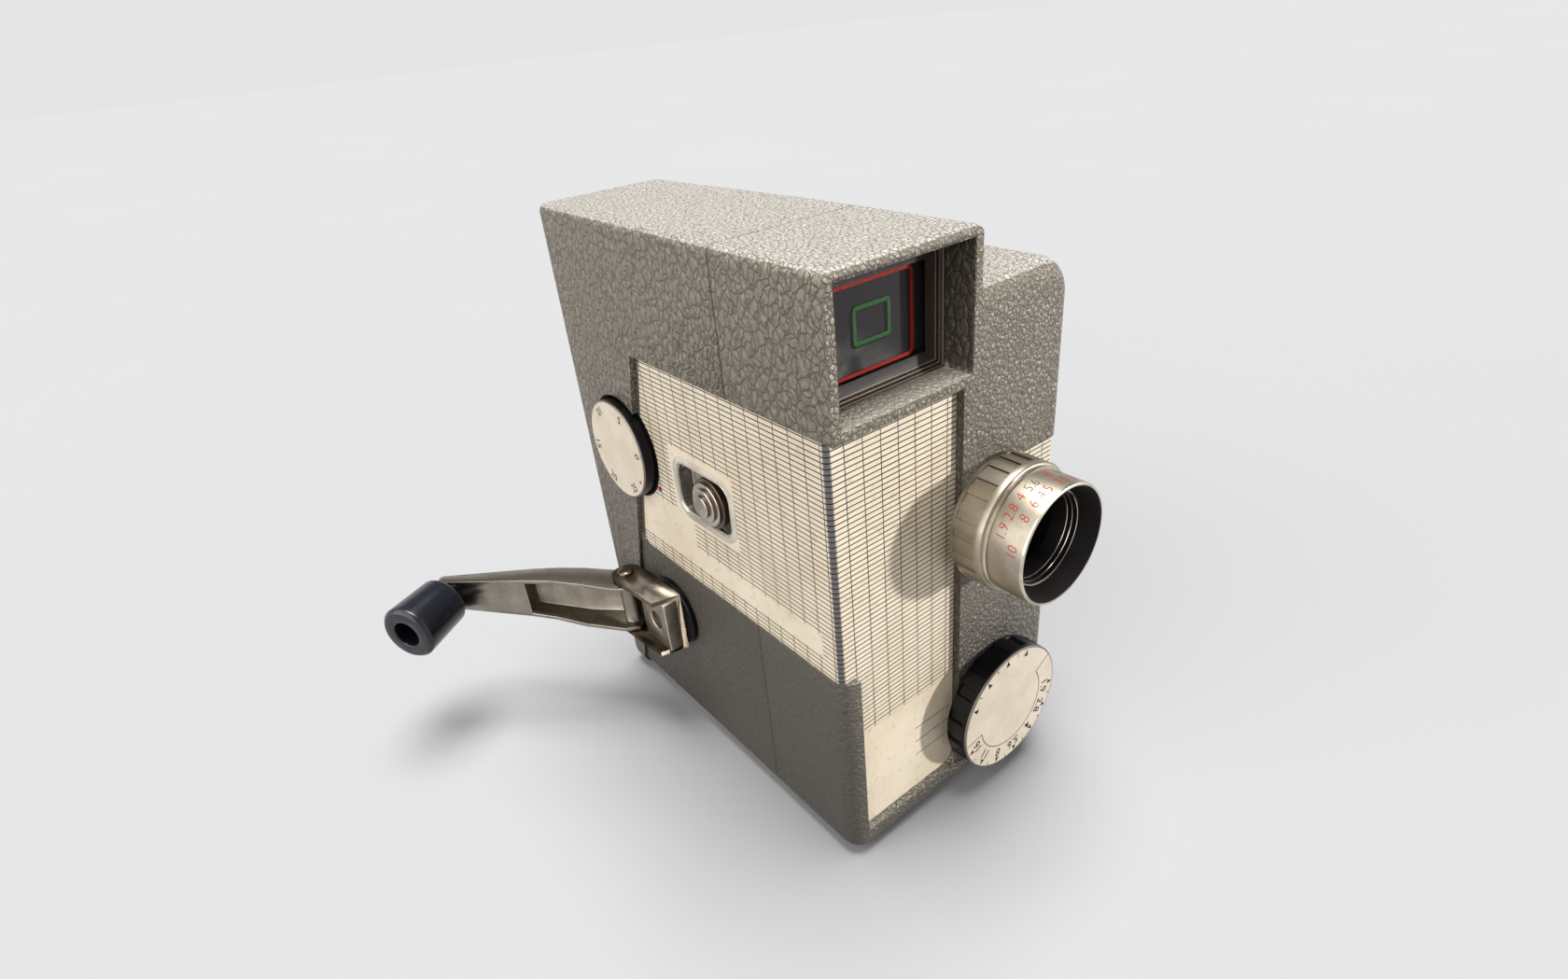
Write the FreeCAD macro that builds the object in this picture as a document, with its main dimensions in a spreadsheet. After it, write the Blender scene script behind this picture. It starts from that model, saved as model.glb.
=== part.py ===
import FreeCAD, Part
import Sketcher
import os
import re

from FreeCAD import Rotation, Vector

# A spring-driven 8 mm movie camera with a folding winding crank.
# Places are measured from the crank side (x), the front face of the lens block (y) and the
# underside (z), in millimetres. The finished part has its origin at the mouth of the tripod socket.

doc = FreeCAD.newDocument("MovieCamera")
sheet = doc.addObject("Spreadsheet::Sheet", "Sizes")

SIZES = [
    # Case
    ("case_width", 63.0, "across, crank side to film door"),
    ("case_depth", 94.0, "front face of the lens block to the rear face"),
    ("case_height", 127.8, "underside to the top of the finder hood"),
    ("case_wall", 2.5, "wall of the castings"),
    ("seam_place", 27.2, "joint of the front and rear castings, from the front face"),
    ("block_drop", 10.8, "top of the lens block below the top of the hood"),
    ("block_top", "=case_height - block_drop", "top of the lens block"),
    ("hood_tall", 27.3, "finder hood, from its lower edge to its top"),
    ("hood_bottom", "=case_height - hood_tall", "lower edge of the finder hood"),
    ("hood_width", 34.4, "finder hood, across"),
    ("hood_rear_width", 31.4, "finder hood at the rear face"),
    ("hood_taper_start", 42.0, "start of its taper, from the front face"),
    ("hood_proud", 1.6, "hood rim in front of the lens block"),
    ("hood_wall", 1.9, "wall of the finder hood"),
    ("front_corner", 4.4, "radius of the front upright edges"),
    ("rear_corner", 3.0, "radius of the rear upright edges"),
    ("base_round", 5.0, "radius of the bottom edges"),
    ("hood_round", 1.6, "radius of the long top edges of the hood"),
    ("block_round", 8.0, "radius of the right top edge of the lens block"),
    ("block_front_round", 4.0, "radius of the front and rear top edges of the lens block"),
    ("side_inset", 0.85, "low side face behind the face of the hood"),
    ("band_reach", 32.3, "front edge of the rear band at the hood, from the rear face"),
    ("band_top_place", "=case_depth - band_reach", "that edge from the front face"),
    ("band_slope", 0.262, "rearward run of that edge for each millimetre down"),
    ("inner_left", 4.0, "inner face of the crank side wall"),
    ("inner_front", 4.4, "inner face of the front wall"),
    # Printed plates
    ("plate_thick", 0.55, "sheet of the printed plates"),
    ("plate_back_gap", 0.05, "air between a plate and its pocket"),
    ("plate_edge_gap", 0.1, "air round the edge of a plate"),
    ("plate_side", 1.2, "outer face of the plate on the crank side"),
    ("plate_front", 1.7, "outer face of the plate on the front"),
    ("plate_bend", 1.3, "outer radius of the bend round the corner"),
    ("plate_low", 48.7, "lower edge on the crank side"),
    ("plate_notch", 4.6, "left edge on the front, under the notch"),
    ("plate_bottom", 7.1, "lower edge on the front"),
    ("plate_corner", 3.0, "radius of the two lower corners"),
    ("step_place", 32.3, "left edge of the raised lens block"),
    ("right_plate_left", 50.0, "left edge of the plate beside the lens"),
    ("right_plate_low", 58.0, "its lower edge"),
    ("right_plate_top", 79.8, "its upper edge"),
    ("right_plate_inset", 0.3, "its outer face inside the film door side"),
    # Finder
    ("glass_place", 7.0, "front face of the finder window"),
    ("glass_thick", 1.4, "finder window"),
    ("glass_gap", 0.1, "air round the finder window"),
    ("frame_thick", 0.15, "height of the sighting frames"),
    ("frame_line", 0.75, "width of the lines of the sighting frames"),
    ("finder_middle", 17.2, "middle of the finder, from the crank side"),
    ("finder_drop", 13.8, "middle of the finder below the top of the hood"),
    ("finder_axis_height", "=case_height - finder_drop", "middle of the finder, from the underside"),
    ("wide_frame_width", 19.3, "large sighting frame"),
    ("wide_frame_height", 16.0, "large sighting frame"),
    ("tele_frame_width", 8.5, "small sighting frame"),
    ("tele_frame_height", 6.7, "small sighting frame"),
    ("tele_frame_rise", 0.5, "small frame above the middle"),
    ("eyepiece_radius", 6.0, "rear lens of the finder"),
    ("eyepiece_lens", 1.6, "thickness of the rear lens"),
    ("eyepiece_ring_radius", 8.0, "ring of the eyepiece"),
    ("eyepiece_proud", 2.0, "ring behind the rear face"),
    # Fits
    ("running_fit", 0.04, "radial play of a turning shaft"),
    ("seat_fit", 0.03, "radial play of a piece that sits on a shaft"),
    ("clear_gap", 0.3, "air between parts that move past each other"),
    ("mesh_gap", 0.15, "wheels stay this far inside their pitch circle"),
    ("past", 1.0, "how far a cutting shape reaches past a face"),
    ("collar", 1.0, "collars and shoulders of the shafts"),
    # Tripod bush
    ("socket_left", 31.5, "tripod socket, from the crank side"),
    ("socket_front", 40.0, "tripod socket, from the front face"),
    ("socket_radius", 3.175, "tripod screw of a quarter inch"),
    ("socket_deep", 6.5, "tripod socket"),
    ("bush_radius", 6.0, "tripod bush"),
    ("bush_flange", 8.0, "flange of the bush inside the case"),
    ("bush_height", 8.0, "tripod bush"),
    ("bush_flange_thick", 1.5, "flange of the bush"),
    # Footage dial
    ("footage_reach", 21.4, "footage dial, from the rear face"),
    ("footage_rear", "=case_depth - footage_reach", "footage dial, from the front face"),
    ("footage_drop", 52.1, "footage dial below the top of the hood"),
    ("footage_height", "=case_height - footage_drop", "footage dial, from the underside"),
    ("footage_radius", 11.8, "footage dial"),
    ("footage_face_radius", 11.45, "its printed face"),
    ("footage_proud", 2.0, "its face outside the hood face"),
    ("footage_thick", 4.6, "footage dial with its face"),
    ("well_wall", 0.35, "wall of the dial well"),
    ("well_front", 1.0, "rim of the dial well"),
    ("well_floor", 4.6, "back of the dial well"),
    ("face_thick", 0.4, "printed faces of both dials"),
    ("dial_shaft", 2.0, "shaft radius of both dials"),
    ("counter_wheel_radius", 7.0, "wheel on the footage shaft"),
    # Start button
    ("button_reach", 54.15, "button, from the rear face"),
    ("button_rear", "=case_depth - button_reach", "button, from the front face"),
    ("button_drop", 54.4, "button below the top of the hood"),
    ("button_height", "=case_height - button_drop", "button, from the underside"),
    ("button_travel", 5.0, "travel of the button to the rear"),
    ("button_flange", 5.6, "radius of the lowest step"),
    ("button_wide", 4.8, "radius of the step above it"),
    ("button_middle", 3.75, "radius of the middle step"),
    ("button_top", 2.5, "radius of the top step"),
    ("button_step", 0.7, "height of each step of the button"),
    ("button_proud", 1.4, "its top outside the hood face"),
    ("button_base", 1.8, "lowest step of the button"),
    ("stem_radius", 1.9, "stem behind the button"),
    ("dish_ahead", 7.75, "front edge of the dish in front of the button"),
    ("dish_left", "=button_rear - dish_ahead", "dish, from the front face"),
    ("dish_length", 20.0, "dish"),
    ("dish_below", 6.5, "lower edge of the dish below the button"),
    ("dish_low", "=button_height - dish_below", "dish, from the underside"),
    ("dish_tall", 13.0, "dish"),
    ("dish_corner", 3.8, "corner radius of the dish"),
    ("dish_wall", 0.6, "sheet of the dish"),
    ("dish_rim", 0.85, "rim of the dish, from the hood face"),
    ("dish_floor", 5.3, "back of the dish, from the hood face"),
    ("slider_thick", 0.8, "slide bar behind the dish"),
    ("slider_length", 17.0, "slide bar"),
    ("slider_tall", 8.0, "slide bar"),
    # Winding key
    ("key_reach", 31.5, "key shaft, from the rear face"),
    ("key_rear", "=case_depth - key_reach", "key shaft, from the front face"),
    ("key_height", 34.0, "key shaft, from the underside"),
    ("key_shaft_radius", 3.0, "key shaft"),
    ("disc_radius", 8.7, "black disc behind the bracket"),
    ("disc_thick", 1.45, "black disc behind the bracket"),
    ("bracket_sheet", 1.2, "sheet of the bracket"),
    ("bracket_half", 8.0, "half of the bracket's height"),
    ("bracket_ahead", 5.3, "bracket in front of the key shaft"),
    ("bracket_front", "=key_rear - bracket_ahead", "front edge of the bracket"),
    ("bracket_reach", 9.3, "ears at their rear end, outside the hood face"),
    ("bracket_nose", 7.5, "ears at their front end, outside the hood face"),
    ("ear_round", 3.2, "radius of the rear corners of the ears"),
    ("ear_behind", 15.5, "ears behind the key shaft"),
    ("ear_rear", "=key_rear + ear_behind", "rear end of the ears"),
    ("hub_ahead", 5.1, "hub in front of the key shaft"),
    ("hub_front", "=key_rear - hub_ahead", "front face of the hub"),
    ("hub_behind", 6.5, "hub behind the key shaft"),
    ("hub_rear", "=key_rear + hub_behind", "rear face of the hub"),
    ("hub_reach", 5.4, "outer face of the hub outside the hood face"),
    ("hub_hole", 2.35, "radius of the hole for the screw"),
    ("pivot_reach", 5.4, "pivot pin outside the hood face"),
    ("pivot_behind", 12.3, "pivot pin behind the key shaft"),
    ("pivot_rear", "=key_rear + pivot_behind", "pivot pin, from the front face"),
    ("pivot_radius", 1.45, "pivot pin"),
    ("pivot_head", 2.0, "head of the pivot pin"),
    ("head_thick", 0.9, "head of the pivot pin"),
    ("ratchet_radius", 8.0, "ratchet wheel"),
    ("ratchet_teeth", 16, "teeth of the ratchet wheel"),
    ("ratchet_thick", 1.6, "ratchet wheel"),
    ("ratchet_deep", 0.8, "depth of its teeth"),
    ("pawl_angle", 35.0, "where the pawl meets the wheel, from the rear"),
    ("pawl_behind", 6.0, "stud of the pawl behind the wheel"),
    ("pawl_above", 1.0, "stud of the pawl above the wheel"),
    ("pawl_half", 2.0, "half of the pawl's width at its stud"),
    # Crank arm, along the arm, outwards and up
    ("fold_angle", 42.0, "how far the arm is swung out in this pose"),
    ("arm_length", 48.5, "pivot pin to knob"),
    ("arm_back", 3.6, "arm behind the pivot pin"),
    ("arm_inner", 3.1, "web of the arm inside the pivot pin"),
    ("arm_outer", 2.8, "outer face of the arm outside the pivot pin"),
    ("arm_sheet", 0.9, "sheet of the arm"),
    ("arm_deep_length", 12.0, "deepest part of the arm, from the pivot pin"),
    ("arm_deep_top", 6.9, "upper edge of the arm there"),
    ("arm_open_low", 4.6, "lower edge of the arm at the end of its open channel"),
    ("arm_open_top", 6.7, "upper edge of the arm there"),
    ("arm_flange", 5.2, "reach of the flanges outside the pivot pin"),
    ("arm_flange_start", 4.2, "reach of the flanges behind the pivot pin"),
    ("arm_flange_end", 20.0, "where the flanges are down to the arm's own face"),
    ("arm_bend", 19.4, "where the inner face turns outwards"),
    ("arm_end_thick", 2.7, "thickness of the arm at the knob"),
    ("arm_end_corner", 2.4, "corner radius at the knob end"),
    ("arm_end_half", 3.9, "half of the arm's height at the knob"),
    ("arm_rise", 1.3, "knob end above the pivot end"),
    ("arm_open_length", 26.5, "open channel of the arm"),
    ("arm_tip", 4.0, "arm beyond the knob"),
    ("tube_radius", 2.4, "tube of the arm round the pivot pin"),
    ("knob_radius", 7.2, "crank knob at its outer end"),
    ("knob_neck", 6.5, "crank knob at its inner end"),
    ("knob_boss", 2.6, "boss of the knob against the arm"),
    ("knob_stand", 1.4, "inner end of the knob clear of the arm"),
    ("knob_tilt", 10.0, "lean of the knob away from the pivot"),
    ("knob_length", 16.0, "crank knob"),
    ("knob_bore", 3.5, "open bore in the end of the knob"),
    ("knob_bore_deep", 11.0, "open bore in the end of the knob"),
    ("knob_pin_radius", 1.4, "pin that carries the knob"),
    # Lens
    ("lens_left", 41.3, "lens axis, from the crank side"),
    ("lens_height", 69.7, "lens axis, from the underside"),
    ("ring_radius", 13.4, "fluted ring"),
    ("ring_back", 1.1, "rear face of the fluted ring in front of the block"),
    ("ring_front", 8.0, "front face of the fluted ring"),
    ("ring_flutes", 24, "grooves of the fluted ring"),
    ("flute_deep", 0.45, "grooves of the fluted ring"),
    ("flute_wide", 0.8, "grooves of the fluted ring"),
    ("barrel_radius", 12.4, "numbered barrel"),
    ("barrel_front", 16.5, "front rim of the barrel"),
    ("barrel_rim", 0.8, "wall at the front rim"),
    ("mount_radius", 10.0, "fixed tube of the lens"),
    ("mount_flange", 12.6, "flange of the fixed tube"),
    ("mount_flange_thick", 0.8, "flange of the fixed tube"),
    ("mount_wall", 1.1, "wall of the fixed tube"),
    ("mount_front", 8.6, "front end of the fixed tube"),
    ("cell_wall", 1.2, "wall of the glass cell"),
    ("cell_front", 9.4, "front end of the glass cell"),
    ("cell_rear", 5.6, "rear end of the glass cell behind the front face"),
    ("front_glass_thick", 2.6, "front glass"),
    ("front_glass_set", 1.6, "front glass behind the end of its cell"),
    # Exposure dial
    ("exposure_left", 43.2, "exposure dial, from the crank side"),
    ("exposure_height", 20.6, "exposure dial, from the underside"),
    ("exposure_radius", 15.2, "exposure dial"),
    ("exposure_face_radius", 14.75, "its printed face"),
    ("exposure_proud", 5.8, "its face in front of the block"),
    ("exposure_flutes", 16, "grooves of the exposure dial"),
    ("exposure_shaft_end", 9.0, "rear end of its shaft"),
    # Drive
    ("plate_place", 30.5, "left face of the mechanism plate"),
    ("drive_plate_thick", 2.0, "mechanism plate"),
    ("drive_plate_front", 9.5, "front edge of the mechanism plate"),
    ("drive_plate_margin", 2.8, "mechanism plate short of the rear wall"),
    ("drive_plate_low", 9.0, "lower edge of the mechanism plate"),
    ("drive_plate_drop", 3.5, "mechanism plate below the finder hood"),
    ("drive_plate_top", "=hood_bottom - drive_plate_drop", "upper edge of the mechanism plate"),
    ("pillar_radius", 2.5, "pillars of the mechanism plate"),
    ("drum_radius", 22.0, "spring drum"),
    ("drum_left", 8.0, "left face of the spring drum"),
    ("drum_right", 19.5, "right face of the spring drum"),
    ("drum_wall", 1.0, "wall of the spring drum"),
    ("drum_hub", 5.0, "hub of the spring drum"),
    ("drum_teeth", 46, "teeth of the drum wheel"),
    ("pinion_teeth", 12, "teeth of the first pinion"),
    ("drum_module", 1.0, "tooth size of the drum wheel"),
    ("wheel_teeth", 40, "teeth of the second wheel"),
    ("take_up_teeth", 56, "teeth of the take-up wheel"),
    ("third_teeth", 20, "teeth of the third pinion"),
    ("crown_radius", 9.0, "crown wheel"),
    ("governor_pinion", 4.5, "pitch radius of the governor pinion"),
    ("shutter_pinion", 3.9, "pitch radius of the shutter pinion"),
    ("wheel_thick", 2.0, "second wheel and take-up wheel"),
    ("second_wheel_place", 25.0, "left face of the second wheel"),
    ("drum_wheel_place", 20.0, "left face of the drum wheel and the crown wheel"),
    ("drum_wheel_thick", 2.5, "drum wheel"),
    ("crown_thick", 1.5, "crown wheel"),
    ("arbor_radius", 1.5, "arbors of the drive"),
    ("centre_forward", 18.0, "second arbor in front of the key shaft"),
    ("governor_rear", 12.6, "governor behind the third arbor"),
    ("governor_rise", 4.85, "governor above the third arbor"),
    ("governor_radius", 6.0, "governor drum"),
    ("governor_left", 12.0, "left end of the governor"),
    ("shutter_radius", 19.0, "shutter disc"),
    ("shutter_place", 6.5, "front face of the shutter disc"),
    ("shutter_thick", 0.6, "shutter disc"),
    ("shutter_open", 10.0, "half of the height of its opening"),
    # Film path
    ("gate_place", 12.0, "front face of the film gate"),
    ("gate_thick", 1.5, "film gate"),
    ("gate_short", 8.0, "film gate short of the outer face of the door"),
    ("gate_right", "=case_width - gate_short", "right edge of the film gate"),
    ("gate_half", 19.0, "half of the gate's height"),
    ("aperture_wide", 4.8, "picture aperture"),
    ("aperture_tall", 3.6, "picture aperture"),
    ("film_from_plate", 12.8, "middle of the film past the mechanism plate"),
    ("film_room", 15.2, "the same from the inner face of the film door"),
    ("film_middle",
     "=(plate_place + drive_plate_thick + film_from_plate + case_width - case_wall - film_room) / 2",
     "middle of the film, from the crank side"),
    ("pad_half_width", 7.7, "half of the pressure pad's width"),
    ("pad_half_height", 9.0, "half of the pressure pad's height"),
    ("pad_thick", 1.2, "pressure pad"),
    ("film_gap", 0.4, "slot for the film"),
    ("pad_travel", 1.5, "travel of the pressure pad"),
    ("pad_stem", 1.2, "radius of the stems of the pad"),
    ("pad_block_edge", 3.4, "block of the pad past the middle of the film"),
    ("pad_stem_spacing", 5.0, "stems of the pad above and below the lens axis"),
    ("claw_travel", 1.9, "travel of the film claw each way"),
    ("guide_left", 35.6, "guide rod of the claw, from the crank side"),
    ("guide_radius", 1.0, "guide rod of the claw"),
    ("spindle_radius", 3.9, "film spindles"),
    ("spindle_short", 10.0, "film spindles short of the outer face of the door"),
    ("spindle_end", "=case_width - spindle_short", "right end of the film spindles"),
    ("supply_drop", 13.5, "supply spindle below the finder hood"),
    ("spool_spacing", "=hood_bottom - supply_drop - key_height", "supply spindle above the take-up spindle"),
    # Film door
    ("door_front", 9.0, "front edge of the door opening"),
    ("door_reach", 10.5, "rear edge of the door opening, from the rear face"),
    ("door_rear", "=case_depth - door_reach", "rear edge of the door opening"),
    ("door_low", 7.0, "lower edge of the door opening"),
    ("door_drop", 9.5, "upper edge of the door opening below the top of the lens block"),
    ("door_top", "=block_top - door_drop", "upper edge of the door opening"),
    ("hinge_out", 1.2, "hinge pin outside the door face"),
    ("hinge_behind", 1.6, "hinge pin behind the door opening"),
    ("hinge_pin", 0.8, "hinge pin"),
    ("knuckle", 1.7, "knuckles of the hinge"),
    ("knuckle_low", 20.0, "lower end of the hinge"),
    ("knuckle_drop", 12.5, "upper end of the hinge below the door opening's upper edge"),
    ("knuckle_top", "=door_top - knuckle_drop", "upper end of the hinge"),
    ("knuckle_joint", 18.0, "length of a fixed knuckle"),
    ("leaf_thick", 1.2, "hinge leaf"),
    ("latch_rear", 16.0, "latch, from the front face"),
    ("latch_height", 57.5, "latch, from the underside"),
    ("latch_radius", 7.0, "latch disc"),
    ("latch_thick", 1.6, "latch disc"),
    ("latch_grip", 3.0, "latch grip above its disc"),
    ("latch_tongue", 10.5, "tongue of the latch"),
    ("latch_stem", 1.5, "stem of the latch"),
]

for row, (alias, value, note) in enumerate(SIZES, start=1):
    sheet.set(f"A{row}", note)
    sheet.set(f"B{row}", str(value))
    sheet.setAlias(f"B{row}", alias)
doc.recompute()

LONGEST_FIRST = sorted((name for name, _, _ in SIZES), key=len, reverse=True)
ALIASES = re.compile(r"\b(" + "|".join(LONGEST_FIRST) + r")\b")
NODES = []


def bind(item, prop, text):
    """Tie a property to an expression written with the names of the sheet."""
    item.setExpression(prop, ALIASES.sub(r"Sizes.\1", str(text)))


def size(text):
    """The present value of an expression written with the names of the sheet."""
    names = {name: sheet.get(name) for name in set(ALIASES.findall(text))}
    value = ALIASES.sub(lambda found: repr(float(names[found.group(1)])), text)
    probe = doc.addObject("App::FeaturePython", "Probe")
    probe.addProperty("App::PropertyFloat", "Value")
    probe.setExpression("Value", value)
    probe.recompute()
    result = probe.Value
    doc.removeObject(probe.Name)
    return result


def place(item, x, y, z, rotation=None):
    """Seat an object at a place measured from the crank side, the front face and the underside."""
    if rotation is not None:
        item.Placement = FreeCAD.Placement(Vector(), rotation)
    bind(item, "Placement.Base.x", f"({x}) - socket_left")
    bind(item, "Placement.Base.y", f"({y}) - socket_front")
    bind(item, "Placement.Base.z", f"{z}")
    return item


TURNS = {
    "X": Rotation(Vector(0, 1, 0), 90),
    "Y": Rotation(Vector(1, 0, 0), -90),
    "Z": Rotation(),
}


def box(x, y, z):
    """A block between two limits along each direction."""
    item = doc.addObject("Part::Box", "Block")
    bind(item, "Length", f"({x[1]}) - ({x[0]})")
    bind(item, "Width", f"({y[1]}) - ({y[0]})")
    bind(item, "Height", f"({z[1]}) - ({z[0]})")
    return place(item, x[0], y[0], z[0])


def rod(axis, radius, limits, centre):
    """A round rod along X, Y or Z between two limits; the centre gives the other two places."""
    item = doc.addObject("Part::Cylinder", "Rod")
    bind(item, "Radius", radius)
    bind(item, "Height", f"({limits[1]}) - ({limits[0]})")
    spot = list(centre)
    spot.insert("XYZ".index(axis), limits[0])
    return place(item, *spot, rotation=TURNS[axis])


def fused(*items):
    """One solid of several."""
    if len(items) == 1:
        return items[0]
    item = doc.addObject("Part::MultiFuse", "Joined")
    item.Shapes = list(items)
    item.Refine = True
    return item


def cut(base, *tools):
    """The base without the tools."""
    item = doc.addObject("Part::Cut", "Trimmed")
    item.Base = base
    item.Tool = fused(*tools)
    return item


def common(first, second):
    """What two solids share."""
    item = doc.addObject("Part::MultiCommon", "Shared")
    item.Shapes = [first, second]
    return item


def tube(axis, outer, inner, limits, centre):
    """A round tube with its bore right through."""
    bore = rod(axis, inner, (f"({limits[0]}) - past", f"({limits[1]}) + past"), centre)
    return cut(rod(axis, outer, limits, centre), bore)


def node(label, item):
    """Name a finished sub-part."""
    item.Label = label
    NODES.append(item)
    return item


def plane(body, role):
    """One of a body's own origin planes or axes."""
    return next(item for item in body.Origin.OriginFeatures if item.Role == role)


def outline(body, role, points):
    """A closed sketch of straight lines whose corners are tied to the sheet."""
    sketch = body.newObject("Sketcher::SketchObject", "Outline")
    sketch.AttachmentSupport = [(plane(body, role), "")]
    sketch.MapMode = "FlatFace"
    spots = [(size(str(u)), size(str(v))) for u, v in points]
    for index, spot in enumerate(spots):
        after = spots[(index + 1) % len(spots)]
        sketch.addGeometry(Part.LineSegment(Vector(*spot, 0), Vector(*after, 0)))
    for index, (u, v) in enumerate(points):
        following = (index + 1) % len(points)
        sketch.addConstraint(Sketcher.Constraint("Coincident", index, 2, following, 1))
        for kind, text, value in (("DistanceX", u, spots[index][0]), ("DistanceY", v, spots[index][1])):
            number = sketch.addConstraint(Sketcher.Constraint(kind, index, 1, value))
            bind(sketch, f"Constraints[{number}]", text)
    return sketch


def turned(axis, centre, profile):
    """A turned piece: profile points are (place along the axis, radius)."""
    body = doc.addObject("PartDesign::Body", "Turned")
    sketch = outline(body, "XY_Plane", profile)
    spin = body.newObject("PartDesign::Revolution", "Spin")
    spin.Profile = sketch
    spin.ReferenceAxis = (sketch, ["H_Axis"])
    spin.Angle = 360.0
    sketch.Visibility = False
    if axis == "X":
        place(body, 0, *centre)
    else:
        place(body, centre[0], 0, centre[1], rotation=Rotation(Vector(0, 0, 1), 90))
        bind(body, "Placement.Base.y", "0 - socket_front")
    return body


SLAB_PLANES = {"X": "YZ_Plane", "Y": "XZ_Plane", "Z": "XY_Plane"}
SLAB_ACROSS = {"X": "yz", "Y": "xz", "Z": "xy"}


def slab(axis, points, limits, rounds=()):
    """A flat piece along X, Y or Z from an outline; rounds are (corner number, radius) pairs."""
    body = doc.addObject("PartDesign::Body", "Slab")
    sketch = outline(body, SLAB_PLANES[axis], points)
    pad = body.newObject("PartDesign::Pad", "Pad")
    pad.Profile = sketch
    pad.Reversed = axis == "Y"
    bind(pad, "Length", f"({limits[1]}) - ({limits[0]})")
    sketch.Visibility = False
    doc.recompute()
    for corner, radius in rounds:
        u, v = (size(str(text)) for text in points[corner])
        base = body.Tip
        names = []
        for number, edge in enumerate(base.Shape.Edges, start=1):
            start, end = edge.Vertexes[0].Point, edge.Vertexes[-1].Point
            flat = [tuple(getattr(point, name) for name in SLAB_ACROSS[axis]) for point in (start, end)]
            if all(abs(a - u) < 1e-4 and abs(b - v) < 1e-4 for a, b in flat):
                names.append(f"Edge{number}")
        fillet = body.newObject("PartDesign::Fillet", "Corner")
        fillet.Base = (base, names)
        bind(fillet, "Radius", radius)
        body.Tip = fillet
        doc.recompute()
    along = {"X": (limits[0], 0, 0), "Y": (0, limits[0], 0), "Z": (0, 0, limits[0])}[axis]
    place(body, *along)
    return body


def rounded(item, *rounds):
    """Round edges of a solid; each round is (radius, test of the edge's two ends)."""
    doc.recompute()
    fillet = doc.addObject("Part::Fillet", "Rounded")
    fillet.Base = item
    edges = []
    shift = Vector(size("socket_left"), size("socket_front"), 0)
    for number, edge in enumerate(item.Shape.Edges, start=1):
        ends = [vertex.Point + shift for vertex in edge.Vertexes]
        for radius, test in rounds:
            if len(ends) == 2 and all(test(end) for end in ends):
                edges.append((number, size(radius), size(radius)))
                break
    fillet.Edges = edges
    return fillet


def near(value, text):
    """True where a place equals a size."""
    return abs(value - size(text)) < 1e-4


def grooves(item, axis, centre, radius, limits, count, wide, deep):
    """Cut straight grooves along a turned piece."""
    cutters = []
    for index in range(int(size(count))):
        angle = 360.0 / size(count) * index
        cutter = doc.addObject("Part::Box", "Groove")
        bind(cutter, "Length", f"2 * ({deep})")
        bind(cutter, "Width", wide)
        bind(cutter, "Height", f"({limits[1]}) - ({limits[0]})")
        step = f"360 / {count} * {index}"
        cutter.Placement = FreeCAD.Placement(Vector(), TURNS[axis] * Rotation(Vector(0, 0, 1), angle))
        out = f"(({radius}) - ({deep}))"
        along = {
            "X": (limits[0], f"{centre[0]} + {out} * sin({step}) + {wide} / 2 * cos({step})",
                  f"{centre[1]} - {out} * cos({step}) + {wide} / 2 * sin({step})"),
            "Y": (f"{centre[0]} + {out} * cos({step}) + {wide} / 2 * sin({step})", limits[0],
                  f"{centre[1]} - {out} * sin({step}) + {wide} / 2 * cos({step})"),
        }[axis]
        bind(cutter, "Placement.Base.x", f"{along[0]} - socket_left")
        bind(cutter, "Placement.Base.y", f"{along[1]} - socket_front")
        bind(cutter, "Placement.Base.z", along[2])
        cutters.append(cutter)
    return cut(item, *cutters)


# Case


def line_place(height):
    """Front edge of the rear band at a height."""
    return f"band_top_place + band_slope * (hood_bottom - ({height}))"


def hood_plan(wall, front, rear):
    """The finder hood seen from above, drawn in by a wall on both sides and at the rear."""
    return [(wall, f"-({front})"), (f"hood_width - {wall}", f"-({front})"),
            (f"hood_width - {wall}", "hood_taper_start"),
            (f"hood_rear_width - {wall}", f"case_depth - {rear}"), (wall, f"case_depth - {rear}")]


def case_form():
    """The outside of both castings together, before anything is cut from it."""
    low = rounded(
        box(("side_inset", "case_width"), ("0", "case_depth"), ("0", "hood_bottom")),
        ("front_corner", lambda p: near(p.x, "side_inset") and near(p.y, "0")),
        ("front_corner", lambda p: near(p.x, "case_width") and near(p.y, "0")),
        ("rear_corner", lambda p: near(p.x, "case_width") and near(p.y, "case_depth")),
        ("rear_corner", lambda p: near(p.x, "side_inset") and near(p.y, "case_depth")),
        ("base_round", lambda p: near(p.z, "0")),
    )
    side = rounded(
        box(("0", "step_place"), ("seam_place", "case_depth"), ("0", "hood_bottom")),
        ("rear_corner", lambda p: near(p.x, "0") and near(p.y, "case_depth")),
        ("base_round", lambda p: near(p.z, "0") and (near(p.x, "0") or near(p.y, "case_depth"))),
    )
    band = common(side, slab(
        "X",
        [(line_place("0"), "0"), ("case_depth", "0"), ("case_depth", "hood_bottom"),
         (line_place("hood_bottom"), "hood_bottom")],
        ("0", "4 * case_wall"),
    ))
    block = rounded(
        box(("step_place", "case_width"), ("0", "case_depth"), ("hood_bottom / 2", "block_top")),
        ("front_corner", lambda p: near(p.x, "case_width") and near(p.y, "0")),
        ("rear_corner", lambda p: near(p.x, "case_width") and near(p.y, "case_depth")),
        ("block_round", lambda p: near(p.x, "case_width") and near(p.z, "block_top")),
        ("block_front_round", lambda p: near(p.z, "block_top") and near(p.y, "0")),
        ("block_front_round", lambda p: near(p.z, "block_top") and near(p.y, "case_depth")),
    )
    hood = rounded(
        slab("Z", hood_plan("0", "hood_proud", "0"), ("hood_bottom", "case_height"),
             [(3, "rear_corner"), (4, "rear_corner")]),
        ("hood_round", lambda p: near(p.z, "case_height")),
    )
    return fused(low, band, block, hood)


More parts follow.
